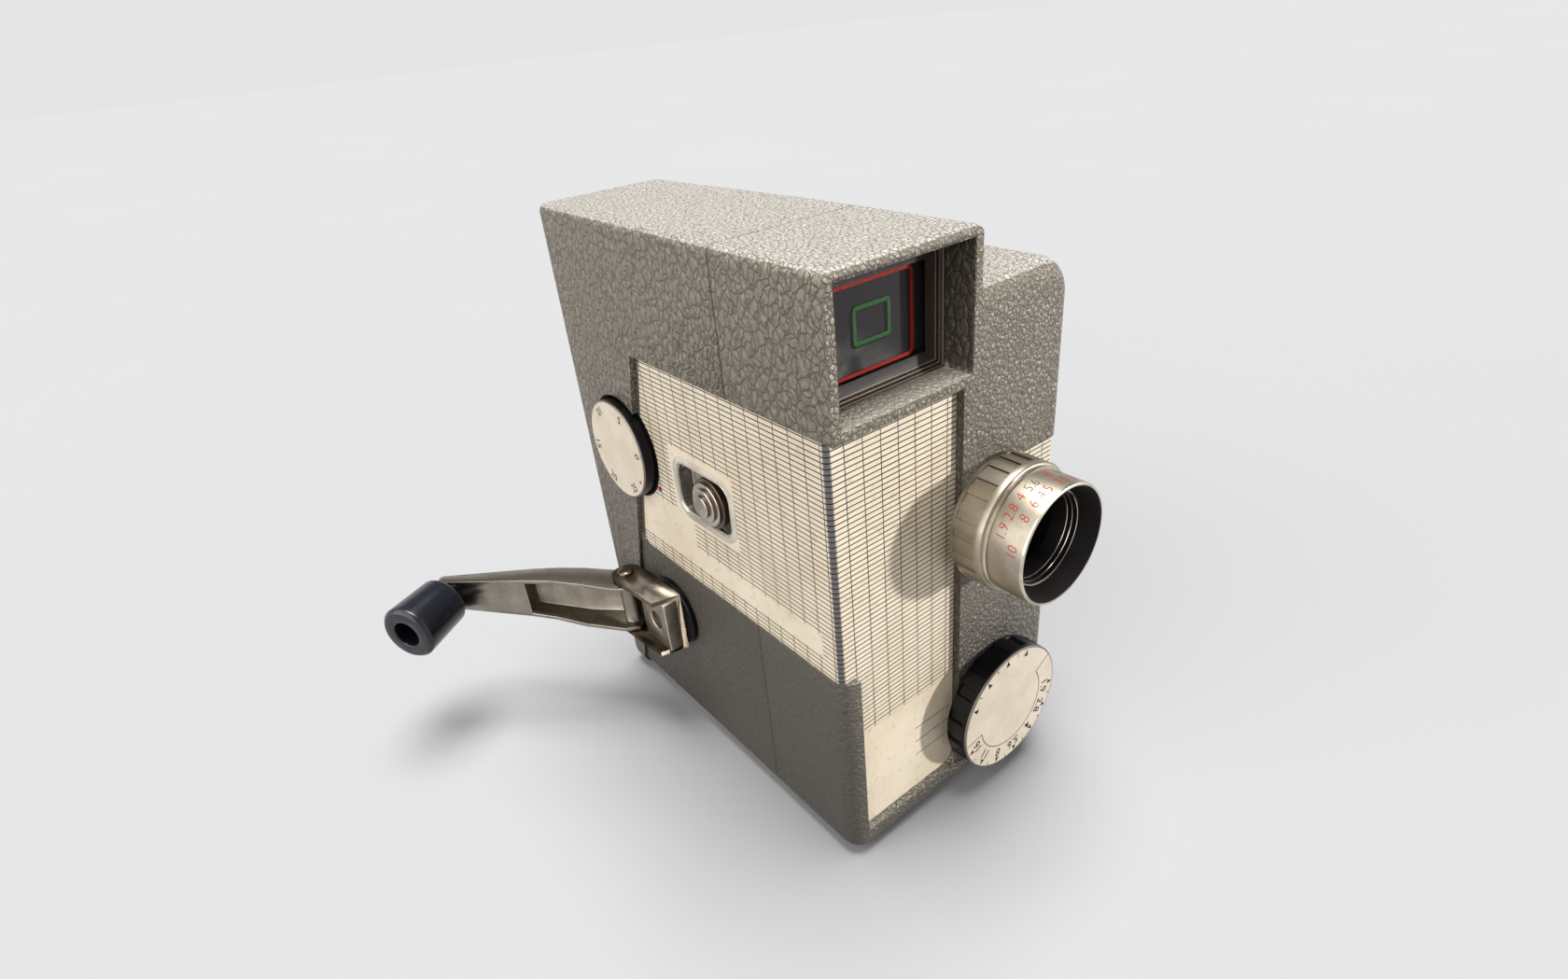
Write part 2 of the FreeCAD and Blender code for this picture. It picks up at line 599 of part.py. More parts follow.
def plate_region(gap, front, back):
    """Where the plate lies that runs from the front round the corner, with its edges drawn in by a gap."""
    side = slab(
        "X",
        [(front, f"plate_low + {gap}"), (f"{line_place('plate_low')} - {gap}", f"plate_low + {gap}"),
         (f"{line_place('hood_bottom')} - {gap}", f"hood_bottom - {gap}"), (front, f"hood_bottom - {gap}")],
        ("-case_wall", "plate_notch + past"),
        [(1, "plate_corner")],
    )
    face = slab(
        "Y",
        [(f"plate_notch + {gap}", f"plate_bottom + {gap}"),
         (f"step_place - {gap}", f"plate_bottom + {gap}"),
         (f"step_place - {gap}", f"hood_bottom - {gap}"),
         (f"plate_notch + {gap}", f"hood_bottom - {gap}")],
        (front, back),
        [(1, "plate_corner")],
    )
    return fused(side, face)


def wrapped(side, front, bend):
    """A solid whose left and front faces meet in a round upright edge."""
    return rounded(
        box((side, "case_width"), (front, "case_depth"), ("0", "block_top")),
        (bend, lambda p: near(p.x, side) and near(p.y, front)),
    )


def right_region(gap):
    """Where the plate beside the lens lies."""
    return box((f"right_plate_left + {gap}", "case_width + past"),
               ("-past", f"door_front - {gap} - clear_gap"),
               (f"right_plate_low + {gap}", f"right_plate_top - {gap}"))


def right_wrapped(inset):
    """A solid whose right and front faces meet in a round upright edge, set in from the plate's faces."""
    right = f"case_width - right_plate_inset - {inset}"
    front = f"plate_front + {inset}"
    return rounded(
        box(("step_place", right), (front, "case_depth"), ("0", "block_top")),
        (f"plate_bend - {inset}", lambda p: near(p.x, right) and near(p.y, front)),
    )


PLATE_SEAT = "(plate_thick + plate_back_gap)"
DIAL = ("footage_rear", "footage_height")
KEY = ("key_rear", "key_height")
LENS = ("lens_left", "lens_height")
EXPOSURE = ("exposure_left", "exposure_height")
SLIDE = ("button_rear", "button_height")
SOCKET = ("socket_left", "socket_front")
WELL = "(footage_radius + clear_gap + well_wall)"


def dish_block(grow, limits):
    """The rounded rectangle of the dish, made larger by a margin."""
    low = (f"dish_left - {grow}", f"dish_low - {grow}")
    high = (f"dish_left + dish_length + {grow}", f"dish_low + dish_tall + {grow}")
    corners = [low, (high[0], low[1]), high, (low[0], high[1])]
    return slab("X", corners, limits, [(number, f"dish_corner + {grow}") for number in range(4)])


def hollow():
    """Everything that is cut from both castings."""
    pocket = cut(
        plate_region("0", "-hood_proud - past", "inner_front - plate_edge_gap"),
        wrapped(f"plate_side + {PLATE_SEAT}", f"plate_front + {PLATE_SEAT}", f"plate_bend - {PLATE_SEAT}"),
    )
    right_pocket = cut(right_region("0"), right_wrapped(PLATE_SEAT))
    chamber = box(("inner_left", "case_width - case_wall"), ("inner_front", "case_depth - case_wall"),
                  ("case_wall", "hood_bottom - 0.25 * case_wall"))
    upper = box(("hood_width + 0.2 * case_wall", "case_width - case_wall"),
                ("inner_front", "case_depth - case_wall"), ("case_wall", "block_top - case_wall"))
    tunnel = slab("Z", hood_plan("hood_wall", "hood_proud + past", "case_wall"),
                  ("hood_bottom + hood_wall", "case_height - hood_wall"))
    eyepiece = rod("Y", "eyepiece_radius + seat_fit", ("case_depth - 2 * case_wall", "case_depth + past"),
                   ("finder_middle", "finder_axis_height"))
    lens = rod("Y", "mount_radius + seat_fit", ("-past", "inner_front + past"), LENS)
    dial = rod("X", f"{WELL} + plate_edge_gap", ("-past", "inner_left + past"), DIAL)
    dish = dish_block("plate_edge_gap", ("-past", "inner_left + past"))
    key = rod("X", "key_shaft_radius + running_fit", ("-past", "inner_left + past"), KEY)
    exposure = rod("Y", "dial_shaft + running_fit", ("-past", "inner_front + past"), EXPOSURE)
    bush = rod("Z", "bush_radius + seat_fit", ("-past", "case_wall + past"), SOCKET)
    door = box(("case_width - 2 * case_wall", "case_width + past"), ("door_front", "door_rear"),
               ("door_low", "door_top"))
    return fused(pocket, right_pocket, chamber, upper, tunnel, eyepiece, lens, dial, dish, key, exposure,
                 bush, door)


HINGE = ("case_width + hinge_out", "door_rear + hinge_behind")


def castings():
    form = case_form()
    hollows = hollow()
    knuckles = fused(
        rod("Z", "knuckle", ("knuckle_low", "knuckle_low + knuckle_joint"), HINGE),
        rod("Z", "knuckle", ("knuckle_top - knuckle_joint", "knuckle_top"), HINGE),
    )
    relief = rod("Z", "knuckle + clear_gap",
                 ("knuckle_low + knuckle_joint", "knuckle_top - knuckle_joint"), HINGE)
    pin_bore = rod("Z", "hinge_pin + seat_fit", ("knuckle_low - past", "knuckle_top + past"), HINGE)
    case = cut(fused(cut(form, hollows), knuckles), relief, pin_bore)
    wide = ("-2 * hood_proud", "case_width + 4 * hinge_out")
    tall = ("-past", "case_height + past")
    node("front_housing", common(case, box(wide, ("-2 * hood_proud", "seam_place"), tall)))
    node("rear_housing", common(case, box(wide, ("seam_place", "case_depth + past"), tall)))
    node("hinge_pin", rod("Z", "hinge_pin", ("knuckle_low", "knuckle_top"), HINGE))


def printed_plates():
    sheet_form = common(plate_region("plate_edge_gap", "-past", "inner_front"),
                        wrapped("plate_side", "plate_front", "plate_bend"))
    bare = cut(sheet_form, wrapped("plate_side + plate_thick", "plate_front + plate_thick",
                                   "plate_bend - plate_thick"))
    dial = rod("X", f"{WELL} + 2 * plate_edge_gap", ("-past", "inner_left"), DIAL)
    dish = dish_block("2 * plate_edge_gap", ("-past", "inner_left"))
    lens_tube = rod("Y", "mount_radius + clear_gap", ("-past", "inner_front"), LENS)
    node("printed_plate", cut(bare, dial, dish, lens_tube))
    node("lens_side_plate", cut(common(right_region("plate_edge_gap"), right_wrapped("0")),
                                right_wrapped("plate_thick"), lens_tube))


def dial_and_dish_cups():
    well = turned("X", DIAL, [
        ("well_front", "footage_radius + clear_gap"),
        ("well_front", WELL),
        ("well_floor", WELL),
        ("well_floor", "dial_shaft + running_fit"),
        ("well_floor - dish_wall", "dial_shaft + running_fit"),
        ("well_floor - dish_wall", "footage_radius + clear_gap"),
    ])
    node("dial_well", well)
    shell = cut(dish_block("0", ("dish_rim", "dish_floor")),
                dish_block("-dish_wall", ("dish_rim - past", "dish_floor - dish_wall")))
    free = "(stem_radius + clear_gap)"
    slot = box(("dish_rim", "dish_floor + past"),
               (f"button_rear - {free}", f"button_rear + button_travel + {free}"),
               (f"button_height - {free}", f"button_height + {free}"))
    node("button_dish", cut(shell, slot))


def sight_frame(label, width, height, rise):
    """One of the two coloured frames printed on the finder window."""
    middle = f"finder_axis_height + {rise}"
    faces = ("glass_place - frame_thick", "glass_place")

    def block(inset, limits):
        half = (f"({width} / 2 - {inset})", f"({height} / 2 - {inset})")
        return box((f"finder_middle - {half[0]}", f"finder_middle + {half[0]}"), limits,
                   (f"{middle} - {half[1]}", f"{middle} + {half[1]}"))

    node(label, cut(block("0", faces), block("frame_line", ("glass_place - past", "glass_place + past"))))


def finder():
    node("finder_window", box(
        ("hood_wall + glass_gap", "hood_width - hood_wall - glass_gap"),
        ("glass_place", "glass_place + glass_thick"),
        ("hood_bottom + hood_wall + glass_gap", "case_height - hood_wall - glass_gap"),
    ))
    sight_frame("finder_frame_wide", "wide_frame_width", "wide_frame_height", "0")
    sight_frame("finder_frame_tele", "tele_frame_width", "tele_frame_height", "tele_frame_rise")
    eye = ("finder_middle", "finder_axis_height")
    node("finder_rear_lens", rod("Y", "eyepiece_radius", ("case_depth - case_wall",
                                                          "case_depth - case_wall + eyepiece_lens"), eye))
    node("eyepiece_ring", turned("Y", eye, [
        ("case_depth", "eyepiece_radius - eyepiece_lens"),
        ("case_depth", "eyepiece_ring_radius"),
        ("case_depth + eyepiece_proud", "eyepiece_ring_radius - eyepiece_proud / 2"),
        ("case_depth + eyepiece_proud", "eyepiece_radius - eyepiece_lens / 2"),
    ]))


def tripod_bush():
    body = fused(rod("Z", "bush_radius", ("0", "bush_height"), SOCKET),
                 rod("Z", "bush_flange", ("case_wall", "case_wall + bush_flange_thick"), SOCKET))
    node("tripod_bush", cut(body, rod("Z", "socket_radius", ("-past", "socket_deep"), SOCKET)))


# Winding key and crank


def key_group():
    inner = "-disc_thick + side_inset"
    node("key_disc", tube("X", "disc_radius", "key_shaft_radius + running_fit", (inner, "side_inset"), KEY))
    back = f"{inner} - clear_gap / 2"
    low, high = "key_height - bracket_half", "key_height + bracket_half"
    ear_front = "bracket_front + 1.5 * bracket_sheet"
    ear = slab(
        "Z",
        [("-bracket_nose", ear_front), (back, "bracket_front"), (back, "hub_rear"),
         (f"{back} - bracket_sheet", "ear_rear"), ("-bracket_reach", "ear_rear")],
        (low, high),
        [(4, "ear_round"), (3, "ear_round")],
    )
    inside = (f"{low} + bracket_sheet", f"{high} - bracket_sheet")
    pivot = ("-pivot_reach", "pivot_rear")
    between = box(("-bracket_reach - past", f"{back} - bracket_sheet"),
                  ("bracket_front - past", "ear_rear + past"), inside)
    behind = box((f"{back} - bracket_sheet - past", f"{back} + past"),
                 ("hub_rear", "ear_rear + past"), inside)
    pin_hole = rod("Z", "pivot_radius + seat_fit", (f"{low} - past", f"{high} + past"), pivot)
    shaft_hole = rod("X", "key_shaft_radius + seat_fit", ("-hub_reach", "0"), KEY)
    node("key_bracket", cut(ear, between, behind, pin_hole, shaft_hole))
    hub_back = f"{back} - bracket_sheet"
    hub = box(("-hub_reach", hub_back), ("hub_front", "hub_rear"), inside)
    shaft_end = "-hub_reach / 2"
    node("key_hub", cut(hub, rod("X", "key_shaft_radius + seat_fit", (shaft_end, "0"), KEY),
                        rod("X", "hub_hole", ("-bracket_reach", "0"), KEY)))
    journal = "drum_wheel_place + drum_wheel_thick + collar"
    node("key_shaft", fused(
        rod("X", "key_shaft_radius", (f"{shaft_end} + seat_fit", journal), KEY),
        rod("X", "arbor_radius", (journal, "plate_place"), KEY),
    ))
    node("key_screw", rod("X", "hub_hole - seat_fit", ("-hub_reach + head_thick", shaft_end), KEY))
    node("pivot_pin", fused(
        rod("Z", "pivot_radius", (low, high), pivot),
        rod("Z", "pivot_head", (high, f"{high} + head_thick"), pivot),
    ))
    ratchet = tube("X", "ratchet_radius", "key_shaft_radius + seat_fit",
                   ("inner_left + 2 * clear_gap", "inner_left + 2 * clear_gap + ratchet_thick"), KEY)
    node("ratchet_wheel", grooves(ratchet, "X", KEY, "ratchet_radius",
                                  ("inner_left", "inner_left + 2 * ratchet_thick"),
                                  "ratchet_teeth", "ratchet_thick", "ratchet_deep"))


def pawl():
    """The pawl beside the ratchet wheel, on its stud."""
    reach = "(ratchet_radius + clear_gap)"
    tip = (f"key_rear + {reach} * cos(pawl_angle)", f"key_height + {reach} * sin(pawl_angle)")
    root = ("key_rear + ratchet_radius + pawl_behind", "key_height + ratchet_radius + pawl_above")
    points = [tip, (root[0], f"{root[1]} - pawl_half"), (f"{root[0]} + pawl_half", root[1]),
              (root[0], f"{root[1]} + pawl_half")]
    right = "inner_left + 2 * clear_gap + ratchet_thick"
    bar = slab("X", points, ("inner_left + 2 * clear_gap", right))
    stud = rod("X", "arbor_radius", ("inner_left", f"{right} + clear_gap"), root)
    node("ratchet_pawl", fused(bar, stud))


def arm_frame():
    """Placement of the arm at the pivot pin: along the arm, outwards from the camera, up."""
    left, rear = size("0 - pivot_reach - socket_left"), size("pivot_rear - socket_front")
    turn = Rotation(Vector(0, 0, 1), 90 + size("fold_angle"))
    return FreeCAD.Placement(Vector(left, rear, size("key_height")), turn)


def knob_joint():
    """Placement of the knob on the arm, leaning away from the pivot."""
    joint = Vector(size("arm_length"), size("arm_outer"), size("arm_rise"))
    return FreeCAD.Placement(joint, Rotation(Vector(0, 0, 1), -size("knob_tilt")))


def carried(item, placement):
    """A piece drawn by itself and set at its place on the crank."""
    holder = doc.addObject("Part::Compound", "Held")
    holder.Links = [item]
    holder.Placement = placement
    return holder


def along(text):
    """A place along the arm, written where the arm is drawn."""
    return f"socket_left + ({text})"


def across(text):
    """A place across the arm, outwards from the pivot pin, written where the arm is drawn."""
    return f"socket_front + ({text})"


ARM_EDGE = "(bracket_half - bracket_sheet - clear_gap)"
ARM_SPOT = ("socket_left", "0")


def arm_sides(inset):
    """The arm seen from outside, with its edges drawn in by an inset."""
    return [
        (along("-arm_back"), f"{inset} - {ARM_EDGE}"),
        (along("arm_deep_length"), f"{inset} - {ARM_EDGE}"),
        (along("arm_open_length"), f"{inset} - arm_open_low"),
        (along("arm_length + arm_tip"), f"{inset} + arm_rise - arm_end_half"),
        (along("arm_length + arm_tip"), f"arm_rise + arm_end_half - {inset}"),
        (along("arm_open_length"), f"arm_open_top - {inset}"),
        (along("arm_deep_length"), f"arm_deep_top - {inset}"),
        (along("arm_back"), f"{ARM_EDGE} - {inset}"),
        (along("-arm_back"), f"{ARM_EDGE} - {inset}"),
    ]


def crank():
    deep = (across("-2 * arm_inner"), across("2 * arm_flange"))
    sides = slab("Y", arm_sides("0"), deep, [(3, "arm_end_corner"), (4, "arm_end_corner")])
    plan = slab(
        "Z",
        [(along("arm_sheet - arm_back"), across("-arm_inner")),
         (along("arm_bend"), across("-arm_inner")),
         (along("arm_length + arm_tip"), across("arm_outer - arm_end_thick")),
         (along("arm_length + arm_tip"), across("arm_outer")),
         (along("arm_flange_end"), across("arm_outer")),
         (along("arm_sheet"), across("arm_flange")),
         (along("arm_sheet - arm_back"), across("arm_flange_start")),
         (along("-arm_back"), across("0"))],
        ("-2 * bracket_half", "2 * bracket_half"),
    )
    open_end = box((along("-arm_back - past"), along("arm_open_length")),
                   (across("arm_sheet - arm_inner"), across("2 * arm_flange + past")),
                   ("-2 * bracket_half", "2 * bracket_half"))
    channel = common(open_end, slab("Y", arm_sides("arm_sheet"), deep))
    barrel = rod("Z", "tube_radius", (f"arm_sheet / 2 - {ARM_EDGE}", f"{ARM_EDGE} - arm_sheet / 2"),
                 ("socket_left", "socket_front"))
    shell = fused(cut(common(sides, plan), channel), barrel)
    pivot_bore = rod("Z", "pivot_radius + running_fit", ("-2 * bracket_half", "2 * bracket_half"),
                     ("socket_left", "socket_front"))
    pin_bore = rod("Y", "knob_pin_radius + seat_fit", deep, ARM_SPOT)
    seat = box((along("-2 * knob_radius"), along("2 * knob_radius")),
               (across("0"), across("2 * knob_radius")), ("-2 * knob_radius", "2 * knob_radius"))
    arm = cut(shell, pivot_bore, carried(pin_bore, knob_joint()), carried(seat, knob_joint()))
    node("crank_arm", carried(arm, arm_frame()))
    bottom = "clear_gap + knob_length - knob_bore_deep"
    node("knob_pin", carried(turned("Y", ARM_SPOT, [
        (across("-arm_sheet"), "0"),
        (across("-arm_sheet"), "knob_pin_radius"),
        (across(f"{bottom} + clear_gap"), "knob_pin_radius"),
        (across(f"{bottom} + clear_gap"), "knob_bore - 2 * clear_gap"),
        (across(f"{bottom} + clear_gap + head_thick"), "knob_bore - 2 * clear_gap"),
        (across(f"{bottom} + clear_gap + head_thick"), "0"),
    ]), arm_frame() * knob_joint()))
    node("crank_knob", carried(turned("Y", ARM_SPOT, [
        (across("clear_gap"), "knob_pin_radius + running_fit"),
        (across("clear_gap"), "knob_boss"),
        (across("knob_stand"), "knob_boss"),
        (across("knob_stand"), "knob_neck - head_thick"),
        (across("knob_stand + head_thick"), "knob_neck"),
        (across("clear_gap + knob_length - head_thick"), "knob_radius"),
        (across("clear_gap + knob_length"), "knob_radius - head_thick"),
        (across("clear_gap + knob_length"), "knob_bore"),
        (across(bottom), "knob_bore"),
        (across(bottom), "knob_pin_radius + running_fit"),
    ]), arm_frame() * knob_joint()))


# Lens and exposure dial


def lens():
    node("lens_mount", turned("Y", LENS, [
        ("inner_front", "mount_radius - mount_wall"),
        ("inner_front", "mount_radius"),
        ("0", "mount_radius"),
        ("0", "mount_flange"),
        ("-mount_flange_thick", "mount_flange"),
        ("-mount_flange_thick", "mount_radius"),
        ("-mount_front", "mount_radius"),
        ("-mount_front", "mount_radius - mount_wall"),
    ]))
    cell = "mount_radius - mount_wall - seat_fit"
    glass_at = "-cell_front + front_glass_set"
    node("lens_cell", turned("Y", LENS, [
        ("cell_rear", f"{cell} - 2 * cell_wall"),
        ("cell_rear", cell),
        ("-cell_front", cell),
        ("-cell_front", f"{cell} - cell_wall"),
        (f"{glass_at} + front_glass_thick", f"{cell} - cell_wall"),
        (f"{glass_at} + front_glass_thick", f"{cell} - 2 * cell_wall"),
    ]))
    glass = f"{cell} - cell_wall - seat_fit"
    node("lens_front_glass", turned("Y", LENS, [
        (f"{glass_at} + front_glass_thick", "0"),
        (f"{glass_at} + front_glass_thick", glass),
        (f"{glass_at} + front_glass_thick * 0.6", glass),
        (f"{glass_at} + front_glass_thick * 0.25", f"{glass} * 0.7"),
        (f"{glass_at}", "0"),
    ]))
    node("lens_rear_glass", rod("Y", f"{cell} - 2 * cell_wall - seat_fit",
                                ("cell_rear - 2 * cell_wall", "cell_rear - cell_wall"), LENS))
    ring = turned("Y", LENS, [
        ("-ring_back", "mount_radius + running_fit"),
        ("-ring_back", "ring_radius"),
        ("-ring_front + flute_deep", "ring_radius"),
        ("-ring_front", "ring_radius - flute_deep"),
        ("-ring_front", "mount_radius + running_fit"),
    ])
    node("iris_ring", grooves(ring, "Y", LENS, "ring_radius", ("-ring_front + flute_wide", "0"),
                              "ring_flutes", "flute_wide", "flute_deep"))
    node("iris_barrel", turned("Y", LENS, [
        ("-ring_front", "mount_radius + running_fit"),
        ("-ring_front", "barrel_radius + flute_deep"),
        ("-ring_front - flute_wide", "barrel_radius + flute_deep"),
        ("-ring_front - flute_wide", "barrel_radius"),
        ("-barrel_front", "barrel_radius"),
        ("-barrel_front", "barrel_radius - barrel_rim"),
        ("-cell_front - clear_gap - barrel_rim", "mount_radius - mount_wall"),
        ("-cell_front - clear_gap", "mount_radius - mount_wall"),
        ("-cell_front - clear_gap", "mount_radius + running_fit"),
    ]))


def exposure_dial():
    back = "-clear_gap"
    face = "-exposure_proud + face_thick"
    knob = tube("Y", "exposure_radius", "dial_shaft + seat_fit", (face, back), EXPOSURE)
    node("exposure_knob", grooves(knob, "Y", EXPOSURE, "exposure_radius", ("-2 * exposure_proud", "past"),
                                  "exposure_flutes", "flute_wide * 1.5", "flute_deep * 1.2"))
    node("exposure_face", rod("Y", "exposure_face_radius", ("-exposure_proud", face), EXPOSURE))
    node("exposure_shaft", rod("Y", "dial_shaft", (face, "exposure_shaft_end"), EXPOSURE))


# Footage dial and start button


def footage_dial():
    face = "-footage_proud + face_thick"
    back = "-footage_proud + footage_thick"
    node("footage_knob", tube("X", "footage_radius", "dial_shaft + seat_fit", (face, back), DIAL))
    node("footage_face", rod("X", "footage_face_radius", ("-footage_proud", face), DIAL))
    wheel = rod("X", "counter_wheel_radius", ("drum_right - wheel_thick", "drum_right"), DIAL)
    shaft = rod("X", "dial_shaft", (face, "plate_place + drive_plate_thick"), DIAL)
    node("footage_shaft", fused(shaft, wheel))


def start_button():
    faces = [f"{number} * button_step - button_proud" for number in range(4)]
    floor = f"{faces[3]} + button_base"
    node("start_button", turned("X", SLIDE, [
        (floor, "0"),
        (floor, "button_flange"),
        (faces[3], "button_flange"),
        (faces[3], "button_wide"),
        (faces[2], "button_wide"),
        (faces[2], "button_middle"),
        (faces[1], "button_middle"),
        (faces[1], "button_top"),
        (faces[0], "button_top"),
        (faces[0], "0"),
    ]))
    behind = "dish_floor + clear_gap"
    bar = box((behind, f"{behind} + slider_thick"),
              ("button_rear - slider_length / 2", "button_rear + slider_length / 2"),
              ("button_height - slider_tall / 2", "button_height + slider_tall / 2"))
    node("button_slider", fused(bar, rod("X", "stem_radius", (floor, behind), SLIDE)))


# Drive


SMALL_MODULE = "(drum_module * (drum_teeth + pinion_teeth) / (wheel_teeth + take_up_teeth))"
CENTRE = ("key_rear - centre_forward",
          "key_height + sqrt((drum_module * (drum_teeth + pinion_teeth) / 2)^2 - centre_forward^2)")
THIRD_RISE = f"(lens_height - ({CENTRE[1]}))"
THIRD_REACH = f"({SMALL_MODULE} * (wheel_teeth + third_teeth) / 2)"
THIRD = (f"{CENTRE[0]} - sqrt({THIRD_REACH}^2 - {THIRD_RISE}^2)", "lens_height")
GOVERNOR = (f"{THIRD[0]} + governor_rear", f"{THIRD[1]} + governor_rise")
WHEEL_RIGHT = "second_wheel_place + wheel_thick"
PLATE_RIGHT = "plate_place + drive_plate_thick"
SUPPLY = ("key_rear", "key_height + spool_spacing")
CROWN_FACE = "drum_wheel_place + crown_thick"
SHUTTER = (f"{CROWN_FACE} + shutter_pinion + mesh_gap", "lens_height")


def pitch(teeth, module=SMALL_MODULE):
    """Radius of a wheel, a little inside its pitch circle."""
    return f"{module} * {teeth} / 2 - mesh_gap"


def toothed(axis, centre, radius, limits, teeth, bore):
    """A wheel with square notches for its teeth and a bore."""
    module = f"({radius}) * 2 / {teeth}"
    blank = tube(axis, radius, bore, limits, centre)
    return grooves(blank, axis, centre, radius, (f"{limits[0]} - past", f"{limits[1]} + past"), teeth,
                   f"1.5 * {module}", f"0.6 * {module}")


def mechanism_plate():
    rear = "(case_depth - case_wall - drive_plate_margin)"
    plate = box(("plate_place", PLATE_RIGHT), ("drive_plate_front", rear),
                ("drive_plate_low", "drive_plate_top"))
    shafts = (("key_shaft_radius", KEY), ("arbor_radius", CENTRE), ("arbor_radius", THIRD),
              ("arbor_radius", GOVERNOR), ("key_shaft_radius", SUPPLY), ("dial_shaft", DIAL))
    bores = [rod("X", f"{radius} + running_fit", ("plate_place - past", f"{PLATE_RIGHT} + past"), centre)
             for radius, centre in shafts]
    node("mechanism_plate", cut(plate, *bores))
    corner = "drive_plate_low + 2 * pillar_radius"
    pillars = (("drive_plate_front + 2 * pillar_radius", corner),
               (f"{rear} - 1.5 * pillar_radius", corner),
               (f"{rear} - 2 * pillar_radius", "drive_plate_top - 2 * pillar_radius"))
    for number, centre in enumerate(pillars, start=1):
        node(f"plate_pillar_{number}", rod("X", "pillar_radius", ("inner_left", "plate_place"), centre))


def spring_drum():
    shell = turned("X", KEY, [
        ("drum_left", "key_shaft_radius + running_fit"),
        ("drum_left", "drum_radius"),
        ("drum_right", "drum_radius"),
        ("drum_right", "drum_radius - drum_wall"),
        ("drum_left + drum_wall", "drum_radius - drum_wall"),
        ("drum_left + drum_wall", "drum_hub"),
        ("drum_wheel_place", "drum_hub"),
        ("drum_wheel_place", "key_shaft_radius + running_fit"),
    ])
    node("spring_drum", shell)
    node("mainspring", tube("X", "drum_radius - drum_wall - clear_gap", "drum_hub + clear_gap",
                            ("drum_left + drum_wall + clear_gap", "drum_right - clear_gap"), KEY))
    node("drum_wheel", toothed("X", KEY, pitch("drum_teeth", "drum_module"),
                               ("drum_wheel_place", "drum_wheel_place + drum_wheel_thick"), "drum_teeth",
                               "key_shaft_radius + running_fit"))


def wheel_train():
    second = ("second_wheel_place", WHEEL_RIGHT)
    pinion = ("drum_wheel_place - mesh_gap", "second_wheel_place")
    node("second_wheel", fused(
        toothed("X", CENTRE, pitch("wheel_teeth"), second, "wheel_teeth", "arbor_radius / 2"),
        toothed("X", CENTRE, pitch("pinion_teeth", "drum_module"), pinion, "pinion_teeth",
                "arbor_radius / 2"),
        rod("X", "arbor_radius", ("drum_left + drum_wall", PLATE_RIGHT), CENTRE),
    ))
    crown = ("drum_wheel_place", CROWN_FACE)
    node("third_wheel", fused(
        toothed("X", THIRD, "crown_radius", crown, "drum_teeth / 2", "arbor_radius / 2"),
        toothed("X", THIRD, pitch("third_teeth"), second, "third_teeth", "arbor_radius / 2"),
        rod("X", "arbor_radius", ("drum_left + drum_wall", PLATE_RIGHT), THIRD),
    ))
    node("governor", fused(
        rod("X", "governor_radius", ("governor_left", "governor_left + governor_radius"), GOVERNOR),
        rod("X", "governor_pinion - mesh_gap", crown, GOVERNOR),
        rod("X", "arbor_radius", ("governor_left - collar", PLATE_RIGHT), GOVERNOR),
    ))
    pinion_at = (f"{THIRD[0]} - crown_radius", f"{THIRD[0]} - crown_radius + wheel_thick")
    disc = cut(
        rod("Y", "shutter_radius", ("shutter_place", "shutter_place + shutter_thick"), SHUTTER),
        box((SHUTTER[0], "case_width"), ("shutter_place - past", "shutter_place + 2 * shutter_thick"),
            ("lens_height - shutter_open", "lens_height + shutter_open")),
    )
    hub = rod("Y", "2 * arbor_radius", ("shutter_place", "drive_plate_front"), SHUTTER)
    arbor = rod("Y", "arbor_radius", ("shutter_place", pinion_at[1]), SHUTTER)
    node("shutter_disc", fused(disc, hub, arbor, rod("Y", "shutter_pinion", pinion_at, SHUTTER)))
    bracket = box((f"{SHUTTER[0]} - 3 * arbor_radius", "plate_place"),
                  ("drive_plate_front + clear_gap", "drive_plate_front + clear_gap + drive_plate_thick"),
                  ("lens_height - 3 * arbor_radius", "lens_height + 3 * arbor_radius"))
    bore = rod("Y", "arbor_radius + running_fit", ("shutter_place", "2 * drive_plate_front"), SHUTTER)
    node("shutter_bracket", cut(bracket, bore))


# Film path


